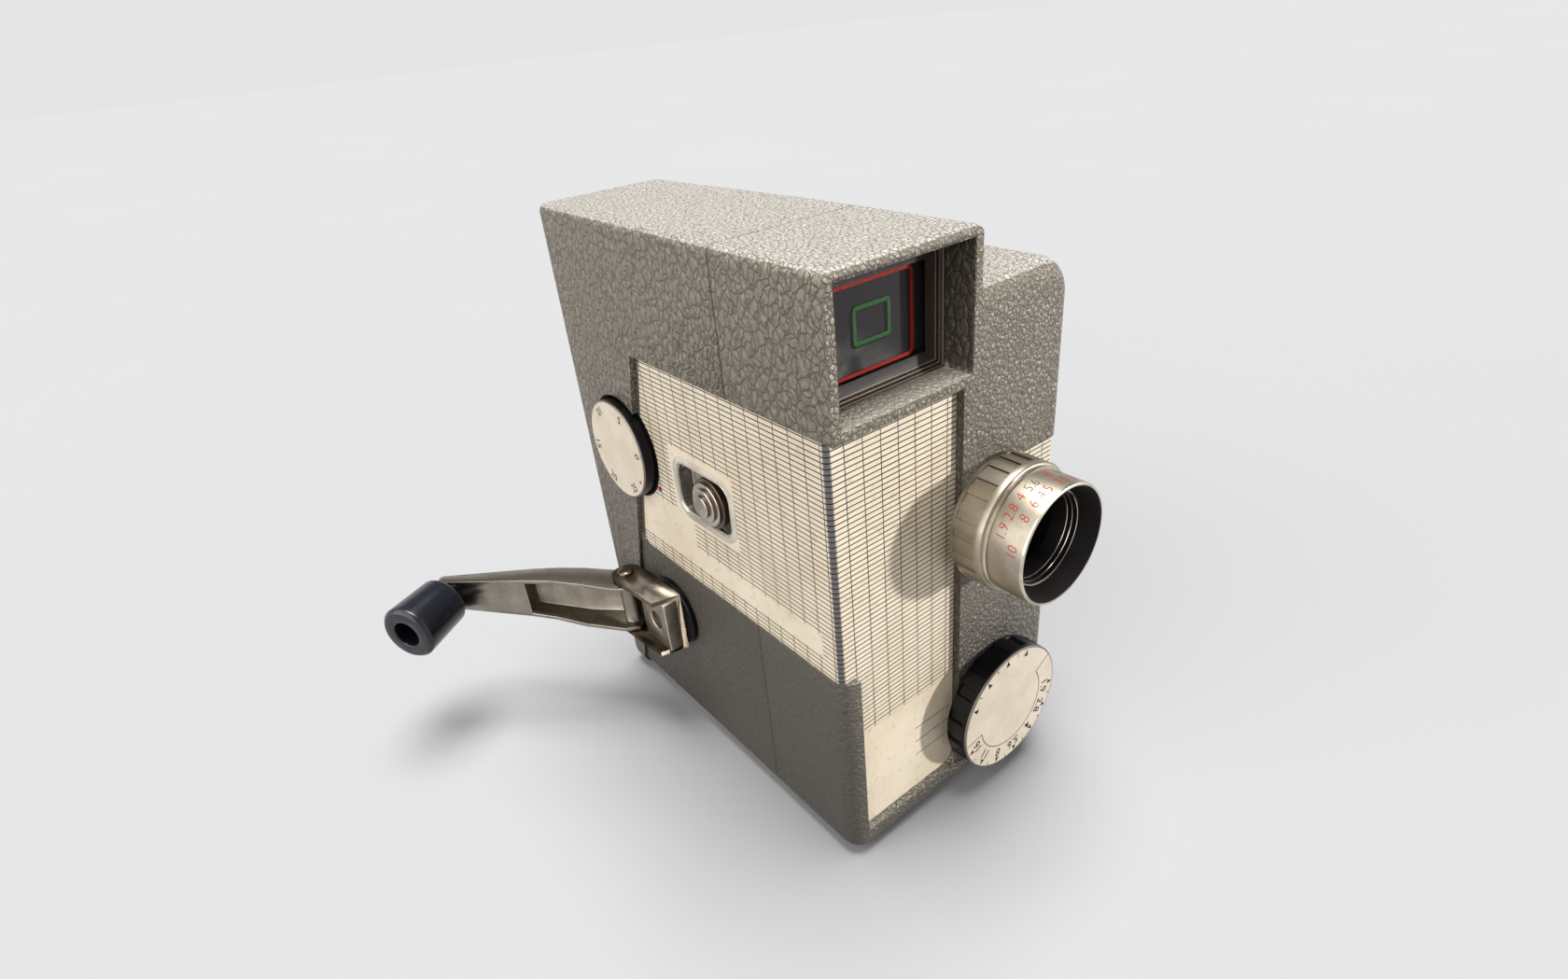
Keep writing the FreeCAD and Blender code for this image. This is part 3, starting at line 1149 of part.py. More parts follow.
def film_path():
    gate_rear = "gate_place + gate_thick"
    gate = box((PLATE_RIGHT, "gate_right"), ("gate_place", gate_rear),
               ("lens_height - gate_half", "lens_height + gate_half"))
    aperture = box(("lens_left - aperture_wide / 2", "lens_left + aperture_wide / 2"),
                   ("gate_place - past", f"{gate_rear} + past"),
                   ("lens_height - aperture_tall / 2", "lens_height + aperture_tall / 2"))
    claw_at = "lens_height - gate_half / 2"
    claw_left = "film_middle - pad_half_width - clear_gap"
    claw_wide = "2 * guide_radius"
    slot = box((f"{claw_left} - clear_gap", f"{claw_left} + {claw_wide} + clear_gap"),
               ("gate_place - past", f"{gate_rear} + past"),
               (f"{claw_at} - claw_travel - guide_radius - clear_gap",
                f"{claw_at} + claw_travel + guide_radius + clear_gap"))
    guide = ("guide_left", "gate_place - 2 * guide_radius - clear_gap")
    lug_low = f"{claw_at} - 3 * claw_travel - guide_radius"
    lug_top = f"{claw_at} + 3 * claw_travel + guide_radius"
    lug_limits = ((f"{lug_low} - 2 * guide_radius", lug_low), (lug_top, f"{lug_top} + 2 * guide_radius"))
    lugs = [box(("guide_left - 2 * guide_radius", "guide_left + 2 * guide_radius"),
                (f"{guide[1]} - 2 * guide_radius", "gate_place"), limits) for limits in lug_limits]
    guide_rod = rod("Z", "guide_radius", (f"{lug_low} - guide_radius", f"{lug_top} + guide_radius"), guide)
    node("film_gate", fused(cut(gate, aperture, slot), *lugs, guide_rod))
    slide = rod("Z", "2 * guide_radius - clear_gap / 2",
                (f"{claw_at} - 2 * claw_travel", f"{claw_at} + 2 * claw_travel"), guide)
    arm = box(("guide_left", f"{claw_left} + {claw_wide}"),
              (f"{guide[1]} - guide_radius", f"{guide[1]} + guide_radius"),
              (f"{claw_at} - guide_radius", f"{claw_at} + guide_radius"))
    tooth = box((claw_left, f"{claw_left} + {claw_wide}"),
                (f"{guide[1]} - guide_radius", f"{gate_rear} - clear_gap / 2"),
                (f"{claw_at} - guide_radius", f"{claw_at} + guide_radius"))
    bore = rod("Z", "guide_radius + running_fit", (lug_low, lug_top), guide)
    node("film_claw", cut(fused(slide, arm, tooth), bore))
    pad_at = f"{gate_rear} + film_gap"
    block_at = f"{pad_at} + pad_thick + pad_travel + pad_thick"
    stems = [("film_middle", f"lens_height {sign} pad_stem_spacing") for sign in "+-"]
    stem_reach = (pad_at, f"{block_at} + 2 * pad_thick")
    pad_tall = ("lens_height - pad_half_height", "lens_height + pad_half_height")
    pad = box(("film_middle - pad_half_width", "film_middle + pad_half_width"),
              (pad_at, f"{pad_at} + pad_thick"), pad_tall)
    node("pressure_pad", fused(pad, *[rod("Y", "pad_stem", stem_reach, stem) for stem in stems]))
    block = box((PLATE_RIGHT, "film_middle + pad_block_edge"),
                (block_at, f"{block_at} + pad_thick"), pad_tall)
    node("pad_block", cut(block, *[rod("Y", "pad_stem + running_fit", stem_reach, stem) for stem in stems]))
    take_up = toothed("X", KEY, pitch("take_up_teeth"), ("second_wheel_place", WHEEL_RIGHT),
                      "take_up_teeth", "key_shaft_radius / 2")
    spindle = fused(
        take_up,
        rod("X", "key_shaft_radius", ("second_wheel_place", f"{PLATE_RIGHT} + collar"), KEY),
        rod("X", "spindle_radius", (f"{PLATE_RIGHT} + clear_gap", "spindle_end"), KEY),
    )
    pilot = rod("X", "arbor_radius + running_fit",
                ("second_wheel_place - past", "plate_place + clear_gap"), KEY)
    node("take_up_spindle", cut(spindle, pilot))
    node("supply_spindle", fused(
        rod("X", "key_shaft_radius", ("plate_place - collar", f"{PLATE_RIGHT} + collar"), SUPPLY),
        rod("X", "key_shaft_radius + collar",
            ("plate_place - collar - clear_gap", "plate_place - clear_gap"), SUPPLY),
        rod("X", "spindle_radius", (f"{PLATE_RIGHT} + clear_gap", "spindle_end"), SUPPLY),
    ))


# Film door


def film_door():
    inner = "case_width - case_wall"
    panel = box((inner, "case_width"), ("door_front + clear_gap", "door_rear - clear_gap"),
                ("door_low + clear_gap", "door_top - clear_gap"))
    joint = ("knuckle_low + knuckle_joint + clear_gap", "knuckle_top - knuckle_joint - clear_gap")
    knuckle_rod = rod("Z", "knuckle", joint, HINGE)
    leaf_face = "case_width + clear_gap"
    leaf = box((leaf_face, f"{leaf_face} + leaf_thick"), ("door_rear - 5 * knuckle", HINGE[1]), joint)
    pad = box(("case_width - past", leaf_face), ("door_rear - 5 * knuckle", "door_rear - knuckle"), joint)
    bore = rod("Z", "hinge_pin + running_fit", ("knuckle_low", "knuckle_top"), HINGE)
    latch = ("latch_rear", "latch_height")
    stem_bore = rod("X", "latch_stem + running_fit", (f"{inner} - past", "case_width + past"), latch)
    node("film_door", cut(fused(panel, knuckle_rod, leaf, pad), bore, stem_bore))
    disc_at = ("case_width + clear_gap", "case_width + clear_gap + latch_thick")
    grip = box((disc_at[1], f"{disc_at[1]} + latch_grip"),
               ("latch_rear - latch_stem", "latch_rear + latch_stem"),
               ("latch_height - 0.85 * latch_radius", "latch_height + 0.85 * latch_radius"))
    tongue_at = (f"{inner} - clear_gap - latch_thick", f"{inner} - clear_gap")
    tongue = box(tongue_at, ("latch_rear - 1.5 * latch_stem", "latch_rear + 1.5 * latch_stem"),
                 ("latch_height - 1.5 * latch_stem", "latch_height + latch_tongue"))
    node("door_latch", fused(rod("X", "latch_radius", disc_at, latch), grip,
                             rod("X", "latch_stem", (tongue_at[0], disc_at[1]), latch), tongue))


castings()
printed_plates()
dial_and_dish_cups()
finder()
tripod_bush()
key_group()
pawl()
crank()
lens()
exposure_dial()
footage_dial()
start_button()
mechanism_plate()
spring_drum()
wheel_train()
film_path()
film_door()
doc.recompute()

faults = [item.Label for item in doc.Objects if "Invalid" in item.State or "Error" in item.State]
faults += [item.Label for item in NODES if item.Shape.isNull() or not item.Shape.isValid()]
if faults:
    raise SystemExit("Not built: " + ", ".join(faults))
os.makedirs("parts", exist_ok=True)
for item in NODES:
    item.Shape.exportStep(f"parts/{item.Label}.step")
print(f"{len(NODES)} sub-parts written")
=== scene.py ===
import math

import bmesh
import bpy
from mathutils import Matrix, Vector


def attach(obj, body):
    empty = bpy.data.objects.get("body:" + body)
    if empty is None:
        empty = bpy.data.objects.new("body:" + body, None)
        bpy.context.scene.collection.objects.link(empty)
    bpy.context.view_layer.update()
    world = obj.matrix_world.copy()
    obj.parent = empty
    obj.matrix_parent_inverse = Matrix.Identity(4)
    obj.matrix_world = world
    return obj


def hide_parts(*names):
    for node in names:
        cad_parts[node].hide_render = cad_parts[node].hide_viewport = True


bl_info = {
    "name": "Spring Movie Camera",
    "version": (1, 0, 0),
    "blender": (4, 5, 0),
    "location": "View3D > Sidebar > Movie Camera",
    "description": "Builds the finished surfaces of a small spring-driven movie camera",
    "category": "Object",
}

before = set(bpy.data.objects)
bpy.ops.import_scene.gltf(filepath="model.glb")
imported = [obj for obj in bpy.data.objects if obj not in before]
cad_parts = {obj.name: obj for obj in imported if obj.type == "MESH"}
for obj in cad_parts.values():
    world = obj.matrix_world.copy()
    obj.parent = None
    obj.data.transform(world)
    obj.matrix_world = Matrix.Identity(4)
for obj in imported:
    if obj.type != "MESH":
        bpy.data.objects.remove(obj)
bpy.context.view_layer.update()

# Lamps: the way their light travels, strength and spread in degrees.
LAMPS = (
    ("top_light", (-0.1, -0.02, -0.99), 5.2, 35),
    ("key_light", (-0.63, 0.77, -0.02), 3.0, 4),
    ("fill_light", (0.9, 0.05, -0.42), 2.8, 70),
)
SKY_LIGHT = 0.28
FLOOR_HALF = 6           # half the floor's width in metres

# Shapes are drawn in millimetres from the crank side (x), the front face (y) and the underside (z).
MM = 0.001
ORIGIN = Vector((31.5, 40.0, 0.0))
INTO_FRAME = Matrix.Scale(MM, 4) @ Matrix.Translation(-ORIGIN)

LENS = (41.3, 69.7)
EXPOSURE = (43.2, 20.6)
FOOTAGE = (72.6, 75.7)
KEY = (62.5, 34.0)
BUTTON = (39.85, 73.4)
DISH = (42.1, 73.4)
FINDER = (17.2, 114.0)
SEAM = 27.2              # where the two castings meet, along y
STEP = 32.3              # the step beside the front plate, along x
HOOD_FOOT = 100          # height of the finder hood's foot
BARREL = 12.4            # radius of the numbered barrel
NARROW = 0.86            # how narrow the barrel's numbers are
DIAL_FRONT = -5.8        # front of the exposure dial's card, along y
CARD_FRONT = -2.0        # front of the footage dial's card, along x
INK = 0.05               # how thick a printed mark is
SHARP = 35               # degrees from which an edge looks sharp

# Lines printed on the plates: the first one, their pitch and half their width.
ROWS = (98.117, 1.083, 0.125)
FRONT_COLUMNS = (5.05, 4.13, 0.11)
SIDE_COLUMNS = (7.285, 4.093, 0.11)


def shade(red, green, blue):
    """A colour as it looks on a screen, 0 to 255, in the linear values that Blender uses."""
    def linear(value):
        value /= 255
        return value / 12.92 if value <= 0.04045 else ((value + 0.055) / 1.055) ** 2.4
    return (linear(red), linear(green), linear(blue), 1.0)


# Materials


class Value:
    """One socket of a material's nodes, so that shader maths reads as plain expressions."""

    def __init__(self, finish, socket):
        self.finish = finish
        self.socket = socket

    def math(self, operation, *others):
        return self.finish.node("ShaderNodeMath", {"operation": operation}, dict(enumerate((self, *others))))

    def __add__(self, other):
        return self.math("ADD", other)

    __radd__ = __add__

    def __sub__(self, other):
        return self.math("SUBTRACT", other)

    def __rsub__(self, other):
        return self.finish.node("ShaderNodeMath", {"operation": "SUBTRACT"}, {0: other, 1: self})

    def __mul__(self, other):
        return self.math("MULTIPLY", other)

    __rmul__ = __mul__

    def __truediv__(self, other):
        return self.math("DIVIDE", other)

    def above(self, edge, soft):
        """0 below an edge and 1 above it, with a soft step."""
        settings = {"interpolation_type": "SMOOTHSTEP"}
        return self.finish.node("ShaderNodeMapRange", settings, {0: self, 1: edge - soft, 2: edge + soft})

    def within(self, low, high, soft):
        """1 between two places and 0 outside them."""
        return self.above(low, soft) * (1 - self.above(high, soft))


class Finish:
    """Shader nodes, made one by one. Places in them are millimetres, as in the shapes."""

    def __init__(self, owner):
        self.owner = owner
        owner.use_nodes = True
        self.tree = owner.node_tree
        self.tree.nodes.clear()
        self.spots = {}

    @classmethod
    def material(cls, name):
        return cls(bpy.data.materials.new(name))

    def node(self, kind, settings=None, inputs=None, output=0):
        """A node of a type, with its settings first and then the values or links of its sockets."""
        made = self.tree.nodes.new(kind)
        for name, value in (settings or {}).items():
            setattr(made, name, value)
        for key, value in (inputs or {}).items():
            if isinstance(value, Value):
                self.tree.links.new(value.socket, made.inputs[key])
            else:
                made.inputs[key].default_value = value
        return Value(self, made.outputs[output]) if made.outputs else None

    def spot(self, centre=(0, 0, 0), stretch=(1, 1, 1)):
        """The place on the piece, measured from a centre and stretched."""
        key = (centre, stretch)
        if key not in self.spots:
            scale = [each / MM for each in stretch]
            start = [(ORIGIN[i] - centre[i]) * stretch[i] for i in range(3)]
            here = self.node("ShaderNodeTexCoord", output=3)
            self.spots[key] = self.node("ShaderNodeMapping", {}, {0: here, 1: start, 3: scale})
        return self.spots[key]

    def parts(self, vector):
        """The three numbers of a vector."""
        split = self.tree.nodes.new("ShaderNodeSeparateXYZ")
        self.tree.links.new(vector.socket, split.inputs[0])
        return [Value(self, each) for each in split.outputs]

    def noise(self, vector, scale, detail=2.0, output=0):
        inputs = {"Vector": vector, "Scale": scale, "Detail": detail}
        return self.node("ShaderNodeTexNoise", {}, inputs, output)

    def cells(self, vector, scale, smooth=0.6):
        """Rounded cells: 0 in their middles, larger towards the creases between them."""
        return self.node("ShaderNodeTexVoronoi", {"feature": "SMOOTH_F1"},
                         {"Vector": vector, "Scale": scale, "Smoothness": smooth})

    def edges(self, vector, scale):
        """Distance from the straight borders between cells."""
        return self.node("ShaderNodeTexVoronoi", {"feature": "DISTANCE_TO_EDGE"},
                         {"Vector": vector, "Scale": scale})

    def attribute(self, name):
        """A number kept with each face corner of the piece."""
        return self.node("ShaderNodeAttribute", {"attribute_name": name}, output=2)

    def pale_rays(self):
        """1 for rays that are seen straight, in a reflection or through glass, and 0 for those that light."""
        seen = [self.node("ShaderNodeLightPath", output=number) for number in (0, 3, 6)]
        return seen[0].math("MAXIMUM", seen[1]).math("MAXIMUM", seen[2])

    def warped(self, vector, scale, amount):
        """A place pushed about by noise, so that a pattern on it isn't regular."""
        push = self.noise(vector, scale, 2.0, output=1)
        centred = self.node("ShaderNodeVectorMath", {"operation": "SUBTRACT"}, {0: push, 1: (0.5, 0.5, 0.5)})
        scaled = self.node("ShaderNodeVectorMath", {"operation": "SCALE"}, {0: centred, "Scale": amount})
        return self.node("ShaderNodeVectorMath", {"operation": "ADD"}, {0: vector, 1: scaled})

    def blend(self, factor, first, second):
        """Two colours mixed by a factor."""
        return self.node("ShaderNodeMix", {"data_type": "RGBA"}, {0: factor, 6: first, 7: second}, 2)

    def relief(self, height, deep, under=None):
        """Bump of a depth in millimetres."""
        inputs = {"Height": height, "Distance": deep * MM, "Strength": 1.0}
        if under is not None:
            inputs["Normal"] = under
        return self.node("ShaderNodeBump", {}, inputs)

    def surface(self, **sockets):
        """The shader that ends the material."""
        inputs = {name.replace("_", " "): value for name, value in sockets.items()}
        shader = self.node("ShaderNodeBsdfPrincipled", {}, inputs)
        self.node("ShaderNodeOutputMaterial", {}, {0: shader})
        return self.owner


def crinkle_paint(name, colours, seam=True):
    """Metallic crinkle paint: soft pillows, thin broken creases with painted shade, worn edges with a painted
    highlight, painted light and glints on upward faces, painted shade in the hood, by the front plate and
    towards the base.
    """
    finish = Finish.material(name)
    spot = finish.spot()
    x, y, z = finish.parts(spot)
    side, top, worn, grime_and_shade = (finish.attribute(each) for each in ("side", "top", "worn", "grime_and_shade"))
    broad = finish.warped(finish.spot(stretch=(1, 1, 0.75)), 0.45, 1.9)
    fine = finish.warped(spot, 0.8, 1.0)
    coarse, small = 0.6, 0.95        # cells to a millimetre on the sides and elsewhere
    pillow = 1 - (finish.cells(broad, coarse) * side + finish.cells(fine, small) * (1 - side))
    edge = finish.edges(broad, coarse) * side + finish.edges(fine, small) * (1 - side)
    mottle = finish.noise(spot, 0.9, 4.0)
    grain = finish.noise(spot, 2.2, 3.0)
    patch = finish.noise(spot, 0.05, 2.0)
    # The lower side gets painted shade and also smoother paint, with fewer creases and less relief.
    smooth_shaded_low_side = x.above(0.5, 0.2) * (1 - x.above(3.0, 2.0)) * (1 - z.above(48.8, 0.2))
    low = 1 - z.above(62.0, 36.0)
    sill_highlight = top * z.within(98.0, 108.0, 1.0)
    hood_inside_shade = x.within(1.8, 32.8, 0.1) * z.within(103.2, 126.5, 0.4) * (1 - y.above(9.0, 1.0))
    crease = (1 - edge.above(0.07, 0.07)) * mottle.above(0.44, 0.1) * (1 - smooth_shaded_low_side * 0.6)
    body = finish.blend(mottle.above(0.5, 0.22), colours.paint_low, colours.paint_high)
    body = finish.blend(patch.above(0.5, 0.3) * 0.35, body, colours.paint_warm)
    # Painted light: upward faces are painted lighter, as if lit from above.
    body = finish.blend(top * 0.45, body, colours.paint_top_lit)
    # Painted shade in the creases.
    body = finish.blend(crease * 0.75, body, colours.paint_crease_and_shade)
    # Painted shade: darker towards the underside and on the lower side.
    body = finish.blend(low * 0.65 + smooth_shaded_low_side * 0.45, body, colours.paint_underside_shade)
    # Painted highlight: the sill inside the finder hood is painted bright.
    body = finish.blend(sill_highlight * 0.8, body, colours.paint_wear_and_highlight)
    # Painted glints: bright specks on upward faces.
    body = finish.blend(top * grain.above(0.6, 0.05) * 0.5, body, colours.paint_wear_and_highlight)
    # Painted shade: the step beside the front plate and the inside of the finder hood are painted dark.
    body = finish.blend(grime_and_shade.math("MAXIMUM", hood_inside_shade) * 0.75, body, colours.paint_crease_and_shade)
    # Worn edges are brightened, partly by wear and partly by a painted highlight.
    colour = finish.blend(worn * grain.above(0.45, 0.25) * 0.4, body, colours.paint_wear_and_highlight)
    height = (pillow * 0.9 + edge.above(0.07, 0.07) * 0.3) * (1.1 - side * 0.05) * (1 - smooth_shaded_low_side * 0.6)
    if seam:
        line = 1 - (y - SEAM).math("ABSOLUTE").above(0.2, 0.06)
        colour = finish.blend(line * (0.4 + side * 0.55), colour, colours.paint_crease_and_shade)
        height = height - line * 0.8
    normal = finish.relief(grain, 0.16, finish.relief(mottle, 0.3, finish.relief(height, 0.42)))
    return finish.surface(Base_Color=colour, Metallic=0.22, Roughness=0.36 + mottle * 0.12, Normal=normal)


def ruled(place, start, pitch, half, soft=0.02):
    """1 on evenly spaced lines."""
    step = ((place - start) / pitch + 0.5).math("FRACT") - 0.5
    return 1 - (step.math("ABSOLUTE") * pitch).above(half, soft)


def printed_cream(name, colours):
    """The cream plates with their fine grid of lines, a dark bend at the corner that is a painted reflection,
    and painted shade by the rear band.
    """
    finish = Finish.material(name)
    spot = finish.spot()
    x, y, z = finish.parts(spot)
    on_front, on_side = 1 - y.above(2.7, 0.2), 1 - x.above(2.0, 0.2)
    bend = 1 - (x + y).above(3.92, 0.16)
    shaded_margin = (y - (z - 100.5) * -0.262).above(60.3, 0.25) * on_side
    rows = ruled(z, *ROWS)
    columns = ruled(x, *FRONT_COLUMNS) * on_front * (1 - bend)
    columns = columns.math("MAXIMUM", ruled(y, *SIDE_COLUMNS) * on_side * y.above(3.05, 0.05))
    # Areas without lines: the face, the place across it, and their reach across and up.
    fields = (
        (on_front, x, (-5.0, 32.5), (-5.0, 33.2)), (on_side, y, (6.5, 63.5), (53.2, 58.2)),
        (on_side, y, (48.0, 80.0), (53.2, 66.0)), (on_side, y, (31.0, 54.3), (65.0, 82.4)),
    )
    bare = 0.0
    for face, across, reach, tall in fields:
        bare = (across.within(*reach, 0.06) * z.within(*tall, 0.06) * face).math("MAXIMUM", bare)
    ink = rows.math("MAXIMUM", columns) * (1 - bare)
    leaders = x.within(20.6, 31.2, 0.1) * on_front
    marks = z.within(24.2, 24.4, 0.04).math("MAXIMUM", z.within(20.3, 20.5, 0.04))
    marks = marks.math("MAXIMUM", z.within(16.4, 16.6, 0.04))
    fade = finish.noise(spot, 0.2, 3.0)
    ink = ink.math("MAXIMUM", leaders * marks) * (0.82 + fade * 0.36)
    stain = finish.noise(spot, 0.08, 4.0)
    grime_and_shade = finish.noise(spot, 0.6, 4.0)
    sheet = finish.blend(stain.above(0.5, 0.25), colours.cream, colours.cream_aged)
    sheet = finish.blend(grime_and_shade.above(0.64, 0.12) * 0.4, sheet, colours.cream_worn)
    # Painted shade along the rear edge of the side plate, by the rear band.
    sheet = finish.blend(shaded_margin * 0.9, sheet, colours.paint_crease_and_shade)
    # Painted reflection: the bend is painted dark, standing in for the dark surroundings it mirrors.
    sheet = finish.blend(bend * 0.92, sheet, colours.plate_bend_reflection)
    colour = finish.blend(ink.math("MINIMUM", 1.0), sheet, colours.ink)
    scuff = finish.noise(finish.spot(stretch=(1, 1, 6)), 0.8, 3.0)
    return finish.surface(Base_Color=colour, Metallic=0.12 + bend * 0.6, Roughness=0.34 + stain * 0.16,
                          Normal=finish.relief(scuff, 0.006), Coat_Weight=0.2, Coat_Roughness=0.22)


def brushed(name, colour, worn, edge, rough, stretch=(1, 1, 1), metallic=1.0):
    """Bare metal with fine drawn lines, smudges, and brighter rounded edges."""
    finish = Finish.material(name)
    spot = finish.spot()
    lines = finish.noise(finish.spot(stretch=stretch), 3.0)
    smudge = finish.noise(spot, 0.2, 4.0)
    speck = finish.noise(spot, 2.2, 3.0)
    base = finish.blend(smudge.above(0.5, 0.25), colour, worn)
    base = finish.blend(speck.above(0.66, 0.06) * 0.4, base, tuple(part * 0.3 for part in worn[:3]) + (1.0,))
    base = finish.blend(finish.attribute("worn") * speck.above(0.4, 0.35) * 0.8, base, edge)
    return finish.surface(Base_Color=base, Metallic=metallic, Roughness=rough + smudge * 0.18,
                          Normal=finish.relief(lines, 0.008))


def turned_metal(name, colour, worn, rough, centre, axis):
    """Metal with the fine rings that a lathe leaves round an axis."""
    finish = Finish.material(name)
    x, y, z = finish.parts(finish.spot(centre))
    across = {"X": (y, z), "Y": (x, z), "Z": (x, y)}[axis]
    along = {"X": x, "Y": y, "Z": z}[axis]
    radius = (across[0] * across[0] + across[1] * across[1]).math("SQRT")
    rings = finish.node("ShaderNodeTexNoise", {"noise_dimensions": "1D"},
                        {"W": radius * 1.3 + along * 1.7, "Scale": 4.0, "Detail": 2.0})
    smudge = finish.noise(finish.spot(), 0.22, 4.0)
    speck = finish.noise(finish.spot(), 2.0, 3.0)
    base = finish.blend(smudge.above(0.5, 0.25), colour, worn)
    base = finish.blend(rings.above(0.6, 0.2) * 0.15, base, worn)
    base = finish.blend(speck.above(0.68, 0.05) * 0.4, base, tuple(part * 0.4 for part in worn[:3]) + (1.0,))
    return finish.surface(Base_Color=base, Metallic=1.0, Roughness=rough + smudge * 0.16,
                          Normal=finish.relief(rings, 0.006))


def glossy(name, colour, worn, rough, coat=0.3, grain=0.01, dust_amount=0.3, shine=0.4):
    """Moulded plastic or gloss paint with faint dust and handling marks."""
    finish = Finish.material(name)
    spot = finish.spot()
    dust = finish.noise(spot, 1.6, 5.0)
    smudge = finish.noise(spot, 0.3, 3.0)
    base = finish.blend(dust.above(0.62, 0.1) * dust_amount, colour, worn)
    base = finish.blend(finish.attribute("worn") * 0.8, base, worn)
    return finish.surface(Base_Color=base, Roughness=rough + smudge * 0.12, Coat_Weight=coat,
                          Coat_Roughness=0.1, Specular_IOR_Level=shine, Normal=finish.relief(dust, grain))


def dark_glass(name, colour, haze, ior):
    """Glass before a dark inside; the finder's lower corner catches a pale haze."""
    finish = Finish.material(name)
    x, _, z = finish.parts(finish.spot())
    smudge = finish.noise(finish.spot(), 0.12, 3.0)
    corner = (1 - (z + x * 0.5).above(117.0, 5.0)) * z.above(101.0, 1.0)
    base = finish.blend(smudge.above(0.48, 0.14) * corner, colour, haze)
    return finish.surface(Base_Color=base, Roughness=0.04 + smudge * 0.06, IOR=ior)


def dish_metal(name, colours):
    """Bright stamped metal of the dish, pale near its mouth, with painted shade in its depth and a painted
    shadow at its front end.
    """
    finish = Finish.material(name)
    x, y, z = finish.parts(finish.spot())
    smudge = finish.noise(finish.spot(), 0.3, 3.0)
    deep = x.above(2.6, 1.2)
    # Painted shade in the depth of the dish.
    base = finish.blend(deep * (0.1 + smudge * 0.4), colours.dish, colours.groove)
    # Painted shadow: black at the front end of the depth.
    base = finish.blend(deep * (1 - y.above(35.5, 1.8)) * z.above(70.0, 2.0), base, colours.black)
    return finish.surface(Base_Color=base, Metallic=0.9, Roughness=0.1 + smudge * 0.14,
                          Normal=finish.relief(smudge, 0.03))


def dial_card(name, colours):
    """The off-white printed face of a dial, a little aged."""
    finish = Finish.material(name)
    spot = finish.spot()
    stain = finish.noise(spot, 0.14, 4.0)
    grime_and_shade = finish.noise(spot, 1.0, 4.0)
    base = finish.blend(stain.above(0.5, 0.25), colours.card, colours.card_aged)
    base = finish.blend(grime_and_shade.above(0.66, 0.08) * 0.35, base, colours.card_worn)
    return finish.surface(Base_Color=base, Roughness=0.34 + stain * 0.14, Coat_Weight=0.2,
                          Coat_Roughness=0.15, Normal=finish.relief(grime_and_shade, 0.01))


def print_ink(name, colour):
    """Printed or engraved and filled ink, slightly worn."""
    finish = Finish.material(name)
    wear = finish.noise(finish.spot(), 2.6, 3.0)
    base = finish.blend(wear.above(0.64, 0.1) * 0.35, colour, tuple(part * 0.7 + 0.2 for part in colour))
    return finish.surface(Base_Color=base, Roughness=0.7 + wear * 0.1, Specular_IOR_Level=0.1,
                          Normal=finish.relief(wear, 0.004))


def pale_floor(name, colours):
    """The plain pale floor, with the faintest mottling; it sends little light back up."""
    finish = Finish.material(name)
    tone = finish.noise(finish.spot(), 0.004, 2.0)
    seen = finish.blend(tone, colours.floor, colours.floor_far)
    base = finish.blend(finish.pale_rays(), colours.floor_bounce, seen)
    return finish.surface(Base_Color=base, Roughness=0.9, Specular_IOR_Level=0.0)


class Kit:
    """The materials in use, each made once."""

    made = {}

    @classmethod
    def get(cls, name):
        if name not in cls.made:
            cls.made[name] = cls.make(name)
        return cls.made[name]

    @staticmethod
    def make(name):
        c = bpy.context.scene.movie_camera_colours
        lens, button = (LENS[0], 0, LENS[1]), (0, *BUTTON)
        recipes = {
            "paint": (crinkle_paint, c),
            "door_paint": (crinkle_paint, c, False),
            "print": (printed_cream, c),
            "nickel": (brushed, c.nickel, c.nickel_worn, c.bright, 0.26, (1, 1, 5)),
            "yoke": (brushed, c.yoke, c.groove_worn, c.bright, 0.17, (1, 1, 5)),
            "arm_nickel": (brushed, c.arm, c.arm_worn, c.nickel, 0.18, (0.3, 0.3, 5)),
            "bright": (brushed, c.bright, c.nickel, c.bright, 0.1),
            "dish": (dish_metal, c),
            "lip": (brushed, c.lip, c.nickel, c.bright, 0.2, (1, 1, 1), 0.5),
            "champagne": (turned_metal, c.champagne, c.champagne_worn, 0.32, lens, "Y"),
            "flute": (turned_metal, c.champagne, c.champagne_worn, 0.3, lens, "Y"),
            "groove": (turned_metal, c.groove, c.groove_worn, 0.3, lens, "Y"),
            "lens_rim": (turned_metal, c.rim, c.champagne, 0.16, lens, "Y"),
            "button": (turned_metal, c.button, c.nickel, 0.2, button, "X"),
            "button_wall": (turned_metal, c.wall, c.groove_worn, 0.3, button, "X"),
            "steel": (brushed, c.steel, c.nickel_worn, c.bright, 0.3),
            "brass": (brushed, c.brass, c.brass_worn, c.brass, 0.3),
            "screw": (brushed, c.screw, c.groove, c.brass, 0.4),
            "gunmetal": (brushed, c.gunmetal, c.nickel_worn, c.steel, 0.35),
            "black": (glossy, c.black, c.black_worn, 0.26, 0.06, 0.01, 0.15, 0.16),
            "knob": (glossy, c.knob, c.black_worn, 0.2, 0.2, 0.03),
            "inside_black": (glossy, c.inside, c.black_worn, 0.55, 0.0, 0.03, 0.15, 0.12),
            "bezel": (glossy, c.bezel, c.bezel_ridge, 0.42, 0.05, 0.01, 0.1, 0.2),
            "glass": (dark_glass, c.finder_glass, c.finder_haze, 1.38),
            "lens_glass": (dark_glass, c.lens_glass, c.black, 1.4),
            "card": (dial_card, c),
            "ink": (print_ink, c.dial_ink),
            "barrel_ink": (print_ink, c.barrel_ink),
            "red": (print_ink, c.red),
            "frame_red": (print_ink, c.frame_red),
            "green": (print_ink, c.frame_green),
            "floor": (pale_floor, c),
        }
        recipe, *values = recipes[name]
        return recipe(name, *values)


# Shapes


